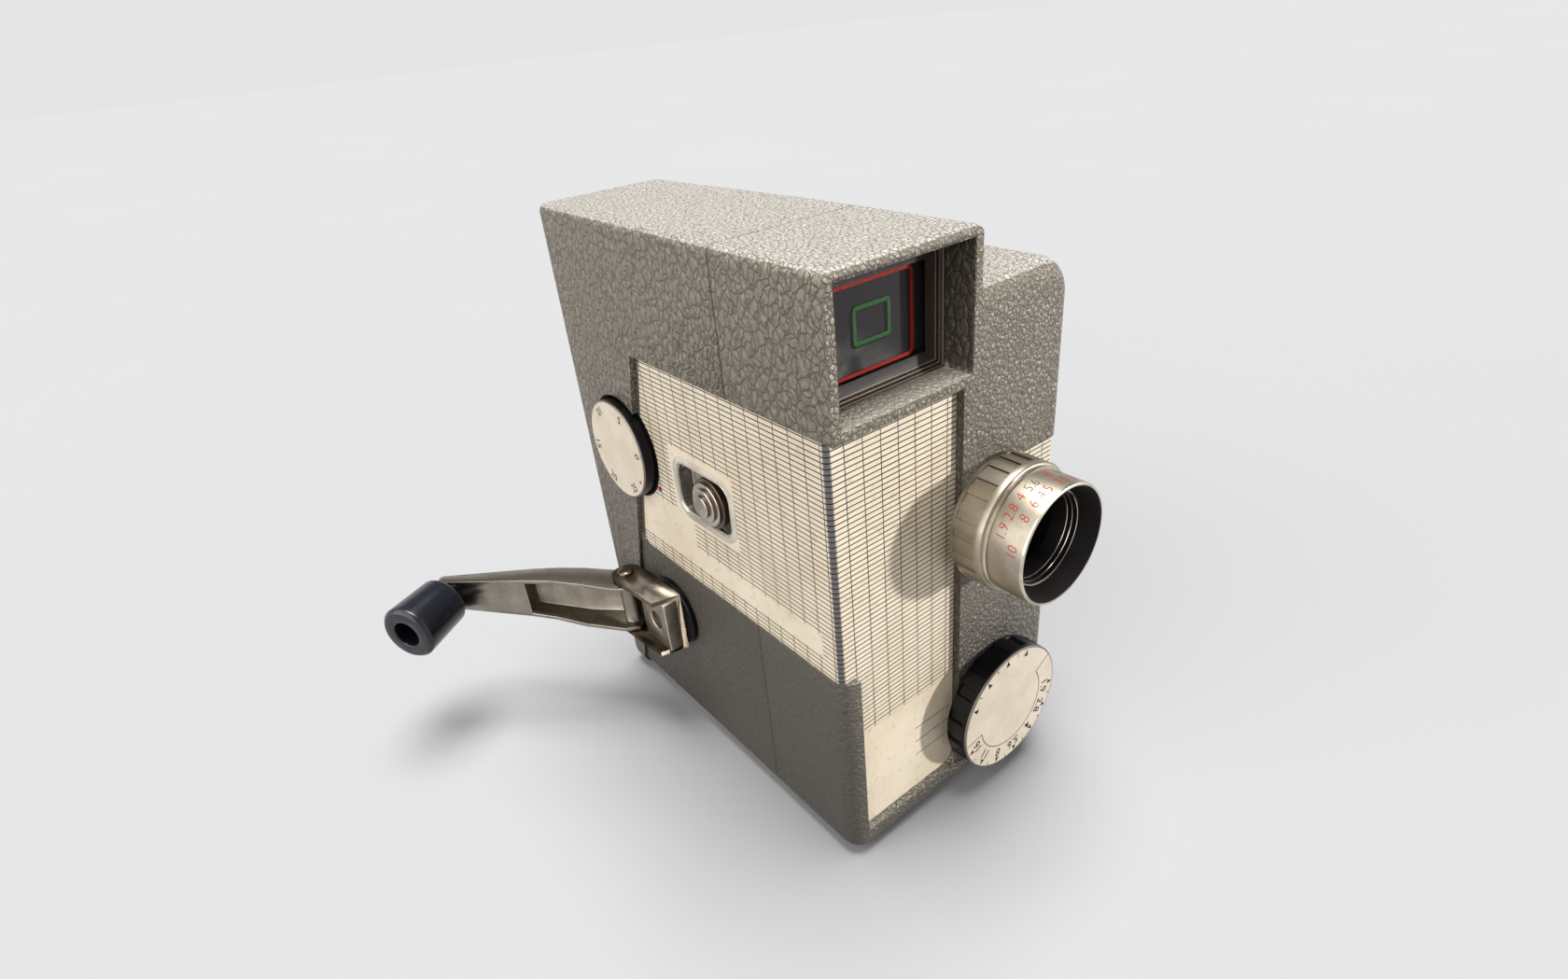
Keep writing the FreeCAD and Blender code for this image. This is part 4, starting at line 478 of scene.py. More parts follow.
def corners(mesh, layer, faces, value):
    """Keep a number with every corner of some faces."""
    store = mesh.loops.layers.float.get(layer) or mesh.loops.layers.float.new(layer)
    for face in faces:
        for loop in face.loops:
            loop[store] = value


def finished(name, mesh, body, finishes, nodes=""):
    """Turn a shape in millimetres into a piece that rides on a body of the frame."""
    bmesh.ops.transform(mesh, matrix=INTO_FRAME, verts=mesh.verts)
    for face in mesh.faces:
        face.smooth = True
    data = bpy.data.meshes.new(name)
    mesh.to_mesh(data)
    mesh.free()
    data.set_sharp_from_angle(angle=math.radians(SHARP))
    for each in finishes.split():
        data.materials.append(Kit.get(each))
    item = bpy.data.objects.new(name, data)
    bpy.context.scene.collection.objects.link(item)
    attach(item, body)
    replaces = nodes.split()
    if replaces:
        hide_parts(*replaces)
    return item


def dressed(finish, *nodes):
    """Give CAD nodes a finished material."""
    for name in nodes:
        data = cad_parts[name].data
        data.materials.clear()
        data.materials.append(Kit.get(finish))


def softened(node, width, segments=2, angle=30, kept=None):
    """A copy of a CAD node with its sharp edges rounded; edges that pass the kept test stay sharp."""
    mesh = bmesh.new()
    mesh.from_mesh(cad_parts[node].data)
    bmesh.ops.transform(mesh, matrix=INTO_FRAME.inverted(), verts=mesh.verts)
    bmesh.ops.remove_doubles(mesh, verts=mesh.verts, dist=0.003)
    bmesh.ops.dissolve_limit(mesh, angle_limit=math.radians(0.5), verts=mesh.verts, edges=mesh.edges)
    edges = [edge for edge in mesh.edges
             if len(edge.link_faces) == 2 and edge.calc_face_angle(0) > math.radians(angle)
             and not (kept and all(kept(vert.co) for vert in edge.verts))]
    made = bmesh.ops.bevel(mesh, geom=edges, offset=width, offset_type="OFFSET", segments=segments,
                           profile=0.5, affect="EDGES", clamp_overlap=True, material=-1)
    corners(mesh, "worn", made["faces"], 1.0)
    return mesh


AXES = {
    "X": Matrix.Identity(4),
    "Y": Matrix.Rotation(math.radians(90), 4, "Z"),
    "Z": Matrix.Rotation(math.radians(-90), 4, "Y"),
}


def turned(axis, centre, profile, steps=96):
    """A turned shape: profile points are (place along the axis, radius)."""
    mesh = bmesh.new()
    verts = [mesh.verts.new((along, radius, 0)) for along, radius in profile]
    edges = [mesh.edges.new(pair) for pair in zip(verts, verts[1:])]
    if profile[0][1] and profile[-1][1]:
        edges.append(mesh.edges.new((verts[-1], verts[0])))
    bmesh.ops.spin(mesh, geom=verts + edges, cent=(0, 0, 0), axis=(1, 0, 0), dvec=(0, 0, 0),
                   angle=math.tau, steps=steps, use_merge=True)
    bmesh.ops.remove_doubles(mesh, verts=mesh.verts, dist=0.002)
    bmesh.ops.recalc_face_normals(mesh, faces=mesh.faces)
    spot = list(centre)
    spot.insert("XYZ".index(axis), 0)
    bmesh.ops.transform(mesh, matrix=Matrix.Translation(spot) @ AXES[axis], verts=mesh.verts)
    return mesh


def away(face, axis, centre):
    """How far the middle of a face lies from an axis, and where along it."""
    mid = list(face.calc_center_median())
    along = mid.pop("XYZ".index(axis))
    return math.dist(mid, centre), along


def rounded_panel(outer, corner, steps=6):
    """A flat rectangle with round corners, lying in X and Y."""
    mesh = bmesh.new()
    bmesh.ops.create_grid(mesh, x_segments=1, y_segments=1, size=0.5)
    bmesh.ops.scale(mesh, vec=(outer[0], outer[1], 1), verts=mesh.verts)
    bmesh.ops.bevel(mesh, geom=mesh.verts, offset=corner, offset_type="OFFSET", segments=steps, profile=0.5,
                    affect="VERTICES", material=-1)
    return mesh


def stepped(mesh, insets):
    """Draw a panel in step by step, each (inwards, outwards), and take its middle away."""
    face = mesh.faces[:]
    bands = []
    for inset, deep in insets:
        made = bmesh.ops.inset_region(mesh, faces=face, thickness=inset, depth=deep, use_even_offset=True,
                                      use_boundary=True)["faces"]
        bands.append(made)
    bmesh.ops.delete(mesh, geom=face, context="FACES_ONLY")
    return bands


def thickened(mesh, deep):
    """Give a flat shape a back."""
    bmesh.ops.recalc_face_normals(mesh, faces=mesh.faces)
    bmesh.ops.solidify(mesh, geom=mesh.faces[:], thickness=deep)
    bmesh.ops.recalc_face_normals(mesh, faces=mesh.faces)


def rounded_frame(outer, line, corner, deep):
    """A flat frame with round corners, lying in X and Y, its front at Z = 0."""
    mesh = rounded_panel(outer, corner)
    stepped(mesh, [(line, 0.0)])
    made = bmesh.ops.extrude_face_region(mesh, geom=mesh.faces[:])["geom"]
    back = [part for part in made if isinstance(part, bmesh.types.BMVert)]
    bmesh.ops.translate(mesh, vec=(0, 0, -deep), verts=back)
    bmesh.ops.recalc_face_normals(mesh, faces=mesh.faces)
    return mesh


def facing(right, up, spot):
    """Stand a flat shape up at a place, with its own right and up turned to two directions."""
    right, up = Vector(right).normalized(), Vector(up).normalized()
    turn = Matrix((right, up, right.cross(up))).transposed().to_4x4()
    return Matrix.Translation(spot) @ turn


def added(target, source, matrix):
    """Add one shape to another."""
    bmesh.ops.transform(source, matrix=matrix, verts=source.verts)
    held = bpy.data.meshes.new("held")
    source.to_mesh(held)
    source.free()
    target.from_mesh(held)
    bpy.data.meshes.remove(held)


def numeral(text, height, slant=0.0, thin=0.0):
    """The plain shape of a printed number, centred, as thick as its ink."""
    curve = bpy.data.curves.new("numeral", "FONT")
    curve.body = text
    curve.size = height / 0.7
    curve.shear = slant
    curve.offset = -thin
    curve.extrude = INK / 2
    curve.resolution_u = 3
    curve.align_x = "CENTER"
    holder = bpy.data.objects.new("numeral", curve)
    data = bpy.data.meshes.new_from_object(holder)
    mesh = bmesh.new()
    mesh.from_mesh(data)
    bmesh.ops.remove_doubles(mesh, verts=mesh.verts, dist=0.001)
    bmesh.ops.translate(mesh, vec=(0, -height / 2, 0), verts=mesh.verts)
    bpy.data.objects.remove(holder)
    bpy.data.curves.remove(curve)
    bpy.data.meshes.remove(data)
    return mesh


def bar(width, height):
    """A printed line."""
    mesh = bmesh.new()
    bmesh.ops.create_cube(mesh, size=1.0)
    bmesh.ops.scale(mesh, vec=(width, height, INK), verts=mesh.verts)
    return mesh


def arrowhead(width, height):
    """A printed triangle that points up."""
    mesh = bmesh.new()
    bmesh.ops.create_cone(mesh, cap_ends=True, segments=3, radius1=1, radius2=1, depth=INK)
    low, high = min(v.co.y for v in mesh.verts), max(v.co.y for v in mesh.verts)
    left, right = min(v.co.x for v in mesh.verts), max(v.co.x for v in mesh.verts)
    bmesh.ops.translate(mesh, vec=(0, -(low + high) / 2, 0), verts=mesh.verts)
    bmesh.ops.scale(mesh, vec=(width / (right - left), height / (high - low), 1), verts=mesh.verts)
    return mesh


def spot_mark(radius):
    """A printed dot."""
    mesh = bmesh.new()
    bmesh.ops.create_cone(mesh, cap_ends=True, segments=16, radius1=radius, radius2=radius, depth=INK)
    return mesh


def dial_spot(centre, degrees, radius, front, axis, inward=False):
    """Where a mark stands on a dial, with its top outwards or inwards."""
    a = math.radians(degrees)
    if axis == "Y":
        out, clockwise = (math.cos(a), 0, math.sin(a)), (math.sin(a), 0, -math.cos(a))
        spot = (centre[0] + radius * out[0], front, centre[1] + radius * out[2])
    else:
        out, clockwise = (0, -math.cos(a), math.sin(a)), (0, -math.sin(a), -math.cos(a))
        spot = (front, centre[0] + radius * out[1], centre[1] + radius * out[2])
    if inward:
        return facing([-part for part in clockwise], [-part for part in out], spot)
    return facing(clockwise, out, spot)


def fluted(mesh, centre, count, limits, radius, share, sink, taper, walls=None):
    """Press shallow grooves into the outside of a shape turned about Y.

    walls is the finish number of the sides that face down; the sides that face up and the floors
    use the next two.
    """
    step = 360 / count
    chosen = {}
    for face in mesh.faces:
        reach, along = away(face, "Y", centre)
        if reach < radius - 0.35 or not limits[0] < along < limits[1]:
            continue
        mid = face.calc_center_median()
        degrees = math.degrees(math.atan2(mid.z - centre[1], mid.x - centre[0])) % 360
        if degrees % step < step * share:
            chosen.setdefault(int(degrees // step), []).append(face)
    for faces in chosen.values():
        made = bmesh.ops.inset_region(mesh, faces=faces, thickness=taper, depth=-sink, use_even_offset=True)
        # The sides take finishes by the way they face: on the lens ring, painted shade on those that face
        # down and a painted highlight on those that face up.
        if walls is not None:
            for face in made["faces"]:
                if abs(face.normal.y) < 0.5:
                    face.material_index = walls if face.normal.z < 0.5 else walls + 1
            for face in faces:
                face.material_index = walls + 2


# Sizes and colours


class MovieCameraSizes(bpy.types.PropertyGroup):
    """Sizes of the finishing that a user may change."""

    paint_round: bpy.props.FloatProperty(
        name="Paint rounding", description="Radius that the paint gives the casting's edges",
        default=0.0008, min=0.0001, max=0.002, unit="LENGTH")
    metal_round: bpy.props.FloatProperty(
        name="Metal rounding", description="Radius of the bent and stamped edges",
        default=0.0003, min=0.0001, max=0.001, unit="LENGTH")
    frame_line: bpy.props.FloatProperty(
        name="Sighting line", description="Width of the coloured lines on the finder window",
        default=0.00075, min=0.0003, max=0.002, unit="LENGTH")
    numeral_height: bpy.props.FloatProperty(
        name="Lens numbers", description="Height of the numbers on the lens barrel",
        default=0.0021, min=0.001, max=0.003, unit="LENGTH")


def tint(label, where, rgb):
    """A colour that a user may change."""
    return bpy.props.FloatVectorProperty(name=label, description=where, subtype="COLOR", size=4, min=0, max=1,
                                         default=shade(*rgb))


class MovieCameraColours(bpy.types.PropertyGroup):
    """Colours of the finishes."""

    paint_high: tint("Paint, light", "Top of the crinkles of the paint", (148, 140, 126))
    paint_low: tint("Paint, dark", "Lower part of the crinkles", (108, 101, 89))
    paint_warm: tint("Paint, warm", "Warmer patches of the paint", (131, 119, 102))
    # Also painted shade: in the creases, in recesses and along the side plate's rear edge.
    paint_crease_and_shade: tint("Paint creases", "Thin creases between the crinkles", (58, 50, 42))
    # Painted shade: the paint is darker towards the underside.
    paint_underside_shade: tint("Paint, base", "Darker paint towards the underside", (72, 67, 59))
    # Painted light: upward faces are painted lighter, as if lit from above.
    paint_top_lit: tint("Paint, top", "Upward faces, faded and dusty", (206, 203, 195))
    # Wear on the edges, partly a painted highlight, and also painted highlights and glints.
    paint_wear_and_highlight: tint("Paint, worn", "Paint rubbed bright on the edges", (214, 206, 190))
    cream: tint("Plate", "Printed plate", (238, 224, 200))
    cream_aged: tint("Plate, aged", "Aged areas of the plate", (224, 208, 181))
    cream_worn: tint("Plate, worn", "Marks on the plate", (178, 166, 142))
    # Painted reflection: the dark surroundings mirrored in the bend.
    plate_bend_reflection: tint("Plate bend", "Bare metal where the plate bends round the corner", (86, 86, 94))
    ink: tint("Grid", "Lines printed on the plate", (36, 30, 24))
    nickel: tint("Nickel", "Hub, pivot and latch", (190, 180, 166))
    nickel_worn: tint("Nickel, worn", "Worn nickel", (140, 132, 120))
    yoke: tint("Bracket", "Satin metal of the winding bracket", (84, 82, 77))
    arm: tint("Crank arm", "Nickel of the crank arm", (160, 154, 142))
    arm_worn: tint("Crank arm, worn", "Worn nickel of the crank arm", (136, 129, 117))
    bright: tint("Bright plating", "Polished edges and pins", (226, 220, 208))
    dish: tint("Dish", "Plated dish of the start button", (204, 198, 188))
    # Its cream tone is a painted reflection of the cream plate beside it.
    lip: tint("Dish rim", "Pale plated rim of the dish", (232, 225, 205))
    button: tint("Start button", "Steps of the start button", (208, 200, 190))
    # Painted shade on the walls between the button's steps.
    wall: tint("Start button, walls", "Darker walls between the steps", (96, 88, 80))
    champagne: tint("Lens metal", "Anodised ring and barrel of the lens", (172, 163, 148))
    champagne_worn: tint("Lens metal, worn", "Worn anodising", (148, 139, 125))
    # Painted shade on the lens ring's flutes and in the dish's depth. Also the tarnish on the screw.
    groove: tint("Grooves", "Dark floors of grooves and steps", (84, 70, 56))
    groove_worn: tint("Grooves, worn", "Lighter parts of the grooves", (120, 104, 88))
    # Also a painted highlight on the upward sides of the lens ring's flutes.
    rim: tint("Lens rims", "Bright rims of the lens", (226, 214, 198))
    steel: tint("Steel", "Shafts and the hinge pin", (170, 168, 164))
    brass: tint("Brass", "Wheels and bushes", (200, 164, 96))
    brass_worn: tint("Brass, worn", "Tarnished brass", (152, 118, 66))
    screw: tint("Screw", "Tarnished screw of the winding key", (112, 92, 68))
    gunmetal: tint("Plates inside", "Mechanism plate and brackets", (118, 116, 112))
    black: tint("Black", "Dials and washers", (7, 7, 9))
    black_worn: tint("Black, dusty", "Dust on the black parts", (36, 35, 35))
    knob: tint("Crank knob", "Black knob with a bluish sheen", (17, 21, 29))
    inside: tint("Inside", "Blackened inside of the lens", (13, 10, 9))
    bezel: tint("Finder bezel", "Dark gloss frame round the finder window", (46, 37, 33))
    bezel_ridge: tint("Finder bezel, ridge", "Lighter ridge and dust on that frame", (150, 132, 116))
    finder_glass: tint("Finder glass", "Window of the finder", (38, 35, 36))
    finder_haze: tint("Finder glass, haze", "Paler areas behind the finder window", (104, 102, 94))
    lens_glass: tint("Lens glass", "Front glass of the lens", (4, 4, 7))
    card: tint("Dial card", "Face of the dials", (222, 209, 188))
    card_aged: tint("Dial card, aged", "Aged areas of the dial faces", (206, 192, 170))
    card_worn: tint("Dial card, worn", "Marks on the dial faces", (172, 158, 138))
    dial_ink: tint("Dial print", "Numbers on the dials", (44, 38, 34))
    barrel_ink: tint("Lens print", "Dark numbers on the lens barrel", (78, 70, 64))
    red: tint("Red print", "Red numbers", (150, 42, 34))
    frame_red: tint("Large sighting frame", "Frame for the wide view", (150, 44, 36))
    frame_green: tint("Small sighting frame", "Frame for the close view", (54, 92, 52))
    floor: tint("Floor", "Plain pale floor", (160, 160, 161))
    floor_far: tint("Floor, far", "Slightly darker areas of the floor", (157, 157, 158))
    backdrop: tint("Backdrop", "Pale surroundings, as seen", (229, 229, 230))
    overhead: tint("Overhead", "Darker surroundings above, seen only in reflections", (122, 120, 118))
    floor_bounce: tint("Floor, lighting", "How much light the floor sends back up", (100, 98, 95))


def sizes():
    """The sizes in millimetres."""
    group = bpy.context.scene.movie_camera_sizes
    return {name: getattr(group, name) / MM for name in group.__annotations__}


# Pieces

# Outlines of the turned pieces: (place along the axis, radius), in millimetres.
PROFILES = {
    "eyepiece_rim": [(94.0, 4.4), (94.0, 8.0), (94.7, 8.0), (95.2, 7.75), (95.7, 7.3), (96.0, 6.6),
        (96.0, 5.9), (95.7, 5.4), (94.9, 5.0), (94.6, 4.4)],
    "lens_ring": [(-1.1, 10.04), (-1.1, 13.1), (-1.4, 13.4), (-6.4, 13.4), (-7.6, 13.4), (-7.9, 13.2),
        (-8.0, 12.95), (-8.0, 10.04)],
    "lens_barrel": [(-8.0, 10.04), (-8.0, 12.75), (-8.12, 12.85), (-8.65, 12.85), (-8.8, 12.7),
        (-8.82, BARREL), (-16.1, BARREL), (-16.4, 12.28), (-16.5, 12.05), (-16.5, 11.8), (-16.3, 11.5),
        (-10.5, 8.98), (-9.7, 8.94), (-9.7, 10.04)],
    "glass_cell": [(5.6, 6.5), (5.6, 8.86), (-9.8, 8.86), (-10.5, 8.9), (-12.8, 9.88), (-12.95, 9.8),
        (-12.95, 9.5), (-12.85, 9.42), (-12.0, 9.38), (-12.0, 9.15), (-11.9, 9.08), (-11.1, 9.02),
        (-11.1, 8.84), (-11.0, 8.76), (-8.3, 7.78), (-8.3, 7.68), (-5.2, 7.66), (-5.2, 6.5)],
    "front_glass": [(-5.2, 0), (-5.2, 7.64), (-6.4, 7.64), (-6.9, 6.6), (-7.35, 5.0), (-7.65, 3.2),
        (-7.78, 1.5), (-7.8, 0)],
    "exposure_grip": [(-0.3, 2.03), (-0.3, 14.8), (-0.7, 15.2), (-4.7, 15.2), (-5.2, 15.18),
        (-5.4, 14.9), (-5.4, 2.03)],
    "exposure_rim": [(-5.38, 14.75), (-5.38, 15.17), (-5.62, 15.17), (-5.78, 15.0), (-5.78, 14.75)],
    "footage_grip": [(-1.6, 2.03), (-1.6, 11.6), (-1.4, 11.8), (2.4, 11.8), (2.6, 11.6), (2.6, 2.03)],
    "footage_rim": [(-1.62, 11.45), (-1.62, 11.78), (-1.8, 11.78), (-1.97, 11.62), (-1.97, 11.45)],
    "start_button_cap": [(2.5, 0), (2.5, 5.4), (2.3, 5.6), (0.86, 5.6), (0.72, 5.5), (0.7, 5.3),
        (0.7, 4.78), (0.14, 4.78), (0.02, 4.68), (0.0, 4.5), (0.0, 3.75), (-0.56, 3.74), (-0.68, 3.64),
        (-0.7, 3.45), (-0.7, 2.5), (-1.26, 2.48), (-1.38, 2.38), (-1.4, 2.2), (-1.4, 0)],
    "pivot_rivet": [(26.0, 0), (26.0, 1.45), (42.0, 1.45), (42.0, 2.0), (42.45, 2.0), (42.75, 1.75),
        (42.9, 1.2), (42.9, 0)],
    "key_washer": [(0.85, 3.04), (0.85, 8.5), (0.6, 8.7), (-0.3, 8.7), (-0.55, 8.5), (-0.6, 8.2),
        (-0.6, 3.04)],
}


def crisp(place):
    """True where the two castings meet and along the step beside the front plate, which stay sharp."""
    return abs(place.y - SEAM) < 0.02 or (abs(place.x - STEP) < 0.05 and place.z < HOOD_FOOT)


def shaded(face):
    """True for the step beside the front plate, which gets painted shade."""
    mid = face.calc_center_median()
    return abs(face.normal.x) > 0.7 and abs(mid.x - STEP) < 0.1 and mid.z < HOOD_FOOT


class MOVIE_CAMERA_OT_castings(bpy.types.Operator):
    """Paint both castings and round their edges"""
    bl_idname = "movie_camera.castings"
    bl_label = "Castings"

    def execute(self, context):
        radius = sizes()["paint_round"]
        for name, node in (("front_casting", "front_housing"), ("rear_casting", "rear_housing")):
            mesh = softened(node, radius, kept=crisp)
            corners(mesh, "side", [face for face in mesh.faces if abs(face.normal.x) > 0.7], 1.0)
            # Upward faces are marked for painted light.
            corners(mesh, "top", [face for face in mesh.faces if face.normal.z > 0.7], 1.0)
            # The step beside the front plate is marked for painted shade.
            corners(mesh, "grime_and_shade", [face for face in mesh.faces if shaded(face)], 1.0)
            finished(name, mesh, "case", "paint", node)
        return {"FINISHED"}


class MOVIE_CAMERA_OT_printed_plates(bpy.types.Operator):
    """Print the grid on the cream plates"""
    bl_idname = "movie_camera.printed_plates"
    bl_label = "Printed plates"

    def execute(self, context):
        dressed("print", "printed_plate", "lens_side_plate")
        mesh = bmesh.new()
        added(mesh, arrowhead(1.7, 1.9), facing((0, 0, 1), (0, 1, 0), (1.19, 61.4, 68.4)))
        finished("footage_index", mesh, "case", "red")
        return {"FINISHED"}


class MOVIE_CAMERA_OT_finder(bpy.types.Operator):
    """Window, sighting frames, bezel and eyepiece of the finder"""
    bl_idname = "movie_camera.finder"
    bl_label = "Finder"

    def execute(self, context):
        dressed("glass", "finder_window", "finder_rear_lens")
        line = sizes()["frame_line"]
        stand = facing((1, 0, 0), (0, 0, 1), (FINDER[0], 6.86, FINDER[1]))
        behind = facing((1, 0, 0), (0, 0, 1), (FINDER[0] - 0.5, 6.95, FINDER[1] - 0.35))
        lift = Matrix.Translation((0, 0, 0.5))
        wide, tele = ((19.3, 16.0), 1.5), ((8.5, 6.7), 0.8)
        frames = (
            ("sight_frame_wide", wide, "red_line", "frame_red", "finder_frame_wide", stand, 0.13),
            ("sight_frame_tele", tele, "green_line", "green", "finder_frame_tele", lift @ stand, 0.13),
            ("sight_shadow_tele", tele, "black_paint", "black", "", lift @ behind, 0.04),
        )
        for name, (outer, corner), slot, finish, nodes, place, deep in frames:
            mesh = bmesh.new()
            added(mesh, rounded_frame(outer, line, corner, deep), place)
            finished(name, mesh, "case", finish, nodes)
        self.bezel()
        ring = turned("Y", FINDER, PROFILES["eyepiece_rim"])
        finished("eyepiece_rim", ring, "case", "black", "eyepiece_ring")
        return {"FINISHED"}

    def bezel(self):
        """The stepped dark frame between the hood and the window."""
        mesh = bmesh.new()
        bmesh.ops.create_grid(mesh, x_segments=1, y_segments=1, size=0.5)
        bmesh.ops.scale(mesh, vec=(30.5, 23.4, 1), verts=mesh.verts)
        bands = stepped(mesh, (
            (0.25, 0.0), (0.12, -0.15), (0.35, -0.3), (0.12, 0.1), (0.22, 0.0), (0.05, -0.35), (0.3, 0.0),
            (0.15, -0.1), (2.1, -0.1), (0.05, -0.15)))
        for band in (bands[1], bands[3], bands[4], bands[7]):
            corners(mesh, "worn", band, 1.0)
        thickened(mesh, 0.15)
        bmesh.ops.transform(mesh, matrix=facing((1, 0, 0), (0, 0, 1), (17.2, 4.9, 114.15)), verts=mesh.verts)
        finished("finder_bezel", mesh, "case", "bezel")


class MOVIE_CAMERA_OT_lens(bpy.types.Operator):
    """Fluted ring, numbered barrel, glass and its rings"""
    bl_idname = "movie_camera.lens"
    bl_label = "Lens"

    def execute(self, context):
        ring = turned("Y", LENS, PROFILES["lens_ring"], 192)
        # The flutes' sides that face down are painted dark, a painted shade, and those that face up are
        # painted bright, a painted highlight.
        fluted(ring, LENS, 24, (-6.35, -1.35), 13.4, 0.5, 0.35, 0.03, walls=1)
        finished("lens_ring", ring, "iris", "champagne groove lens_rim flute", "iris_ring")
        barrel = turned("Y", LENS, PROFILES["lens_barrel"], 128)
        cone, bead, lip = 11.65, 12.6, -16.1
        for face in barrel.faces:
            reach, along = away(face, "Y", LENS)
            if reach < cone and along < -9.75:
                face.material_index = 1
            elif reach > bead or along < lip:
                face.material_index = 2
        finished("lens_barrel", barrel, "iris", "champagne inside_black lens_rim",
                 "iris_barrel")
        self.numbers()
        cell = turned("Y", LENS, PROFILES["glass_cell"], 128)
        for face in cell.faces:
            face.material_index = 0 if face.normal.y < -0.5 and away(face, "Y", LENS)[1] < -10.9 else 1
        finished("glass_cell", cell, "case", "lens_rim inside_black", "lens_cell")
        glass = turned("Y", LENS, PROFILES["front_glass"], 96)
        finished("front_glass", glass, "case", "lens_glass", "lens_front_glass")
        dressed("champagne", "lens_mount")
        dressed("lens_glass", "lens_rear_glass")
        return {"FINISHED"}

    def numbers(self):
        """Numbers round the barrel, each bent to it."""
        height = sizes()["numeral_height"]
        near_ring = (("1.9", 27, "red"), ("2.8", 44.9, "red"), ("4", 60.2, "red"), ("5.6", 75, "barrel_ink"),
                     ("8", 97, "red"), ("11", 114, "barrel_ink"), ("16", 131, "barrel_ink"))
        near_rim = (("10", 14, "red"), ("8", 44.5, "red"), ("6", 58.8, "red"), ("4.5", 74, "red"),
                    ("3.5", 96.5, "red"), ("3", 112, "red"), ("2", 127, "red"))
        for finish, slot in (("red", "red_line"), ("barrel_ink", "black_paint")):
            mesh = bmesh.new()
            for row, place in ((near_ring, -10.9), (near_rim, -13.9)):
                for text, degrees, colour in row:
                    if colour == finish:
                        self.wrapped(mesh, numeral(text, height, 0.12, thin=0.04), degrees, place)
            finished(f"barrel_numbers_{finish}", mesh, "iris", finish)

    def wrapped(self, target, glyph, degrees, place):
        """Bend one number round the barrel."""
        cut = -3.0
        while cut <= 3.0:
            bmesh.ops.bisect_plane(glyph, geom=glyph.verts[:] + glyph.edges[:] + glyph.faces[:],
                                   plane_co=(cut, 0, 0), plane_no=(1, 0, 0))
            cut += 0.5
        for vert in glyph.verts:
            angle = math.radians(degrees) + NARROW * vert.co.x / BARREL
            radius = BARREL + vert.co.z
            vert.co = (LENS[0] - radius * math.cos(angle), place + vert.co.y,
                       LENS[1] + radius * math.sin(angle))
        added(target, glyph, Matrix())


class MOVIE_CAMERA_OT_exposure_dial(bpy.types.Operator):
    """Black fluted dial with its printed card"""
    bl_idname = "movie_camera.exposure_dial"
    bl_label = "Exposure dial"

    def execute(self, context):
        knob = turned("Y", EXPOSURE, PROFILES["exposure_grip"], 144)
        fluted(knob, EXPOSURE, 16, (-4.6, -0.75), 15.2, 0.45, 0.55, 0.22)
        finished("exposure_grip", knob, "exposure_dial", "black", "exposure_knob")
        rim = turned("Y", EXPOSURE, PROFILES["exposure_rim"], 144)
        finished("exposure_rim", rim, "exposure_dial", "gunmetal")
        dressed("card", "exposure_face")
        dressed("steel", "exposure_shaft")
        mesh = bmesh.new()
        # Each shape with its width and height, its distance from the middle and its places in degrees.
        marks = ((arrowhead, (1.25, 1.6), 13.75, (71, 97.5, 124.5, 151)),
                 (bar, (0.2, 1.0), 14.15, (84, 111, 137.7)),
                 (arrowhead, (1.2, 1.35), 13.95, (-4.5, -30.3, -56, -82, -107.8, -133.5, -159.5)),
                 (bar, (0.18, 0.9), 14.2, (-17.5, -43, -69, -95, -121, -147)),
                 (bar, (0.18, 4.8), 12.3, (31.8, -171)))
        for shape, outline, radius, angles in marks:
            for degrees in angles:
                added(mesh, shape(*outline), dial_spot(EXPOSURE, degrees, radius, DIAL_FRONT, "Y"))
        arc = bmesh.new()
        inner, line, half = 9.8, 0.18, INK / 2
        outline = ((0, -half), (line, -half), (line, half), (0, half))
        verts = [arc.verts.new((inner + across, along, 0)) for across, along in outline]
        arc.faces.new(verts)
        bmesh.ops.spin(arc, geom=arc.verts[:] + arc.edges[:] + arc.faces[:], cent=(0, 0, 0), axis=(0, 1, 0),
                       dvec=(0, 0, 0), angle=math.radians(202.8), steps=64)
        bmesh.ops.recalc_face_normals(arc, faces=arc.faces)
        turn = Matrix.Rotation(math.radians(-31.8), 3, "Y")
        bmesh.ops.rotate(arc, cent=(0, 0, 0), matrix=turn, verts=arc.verts)
        added(mesh, arc, Matrix.Translation((EXPOSURE[0], DIAL_FRONT, EXPOSURE[1])))
        stops = (("1.9", -5.5), ("2.8", -31), ("4", -56.5), ("5.6", -83), ("8", -109), ("11", -135),
                 ("16", -159))
        for text, degrees in stops:
            added(mesh, numeral(text, 2.2, thin=-0.015), dial_spot(EXPOSURE, degrees, 11.95, DIAL_FRONT, "Y"))
        finished("exposure_print", mesh, "exposure_dial", "ink")
        return {"FINISHED"}


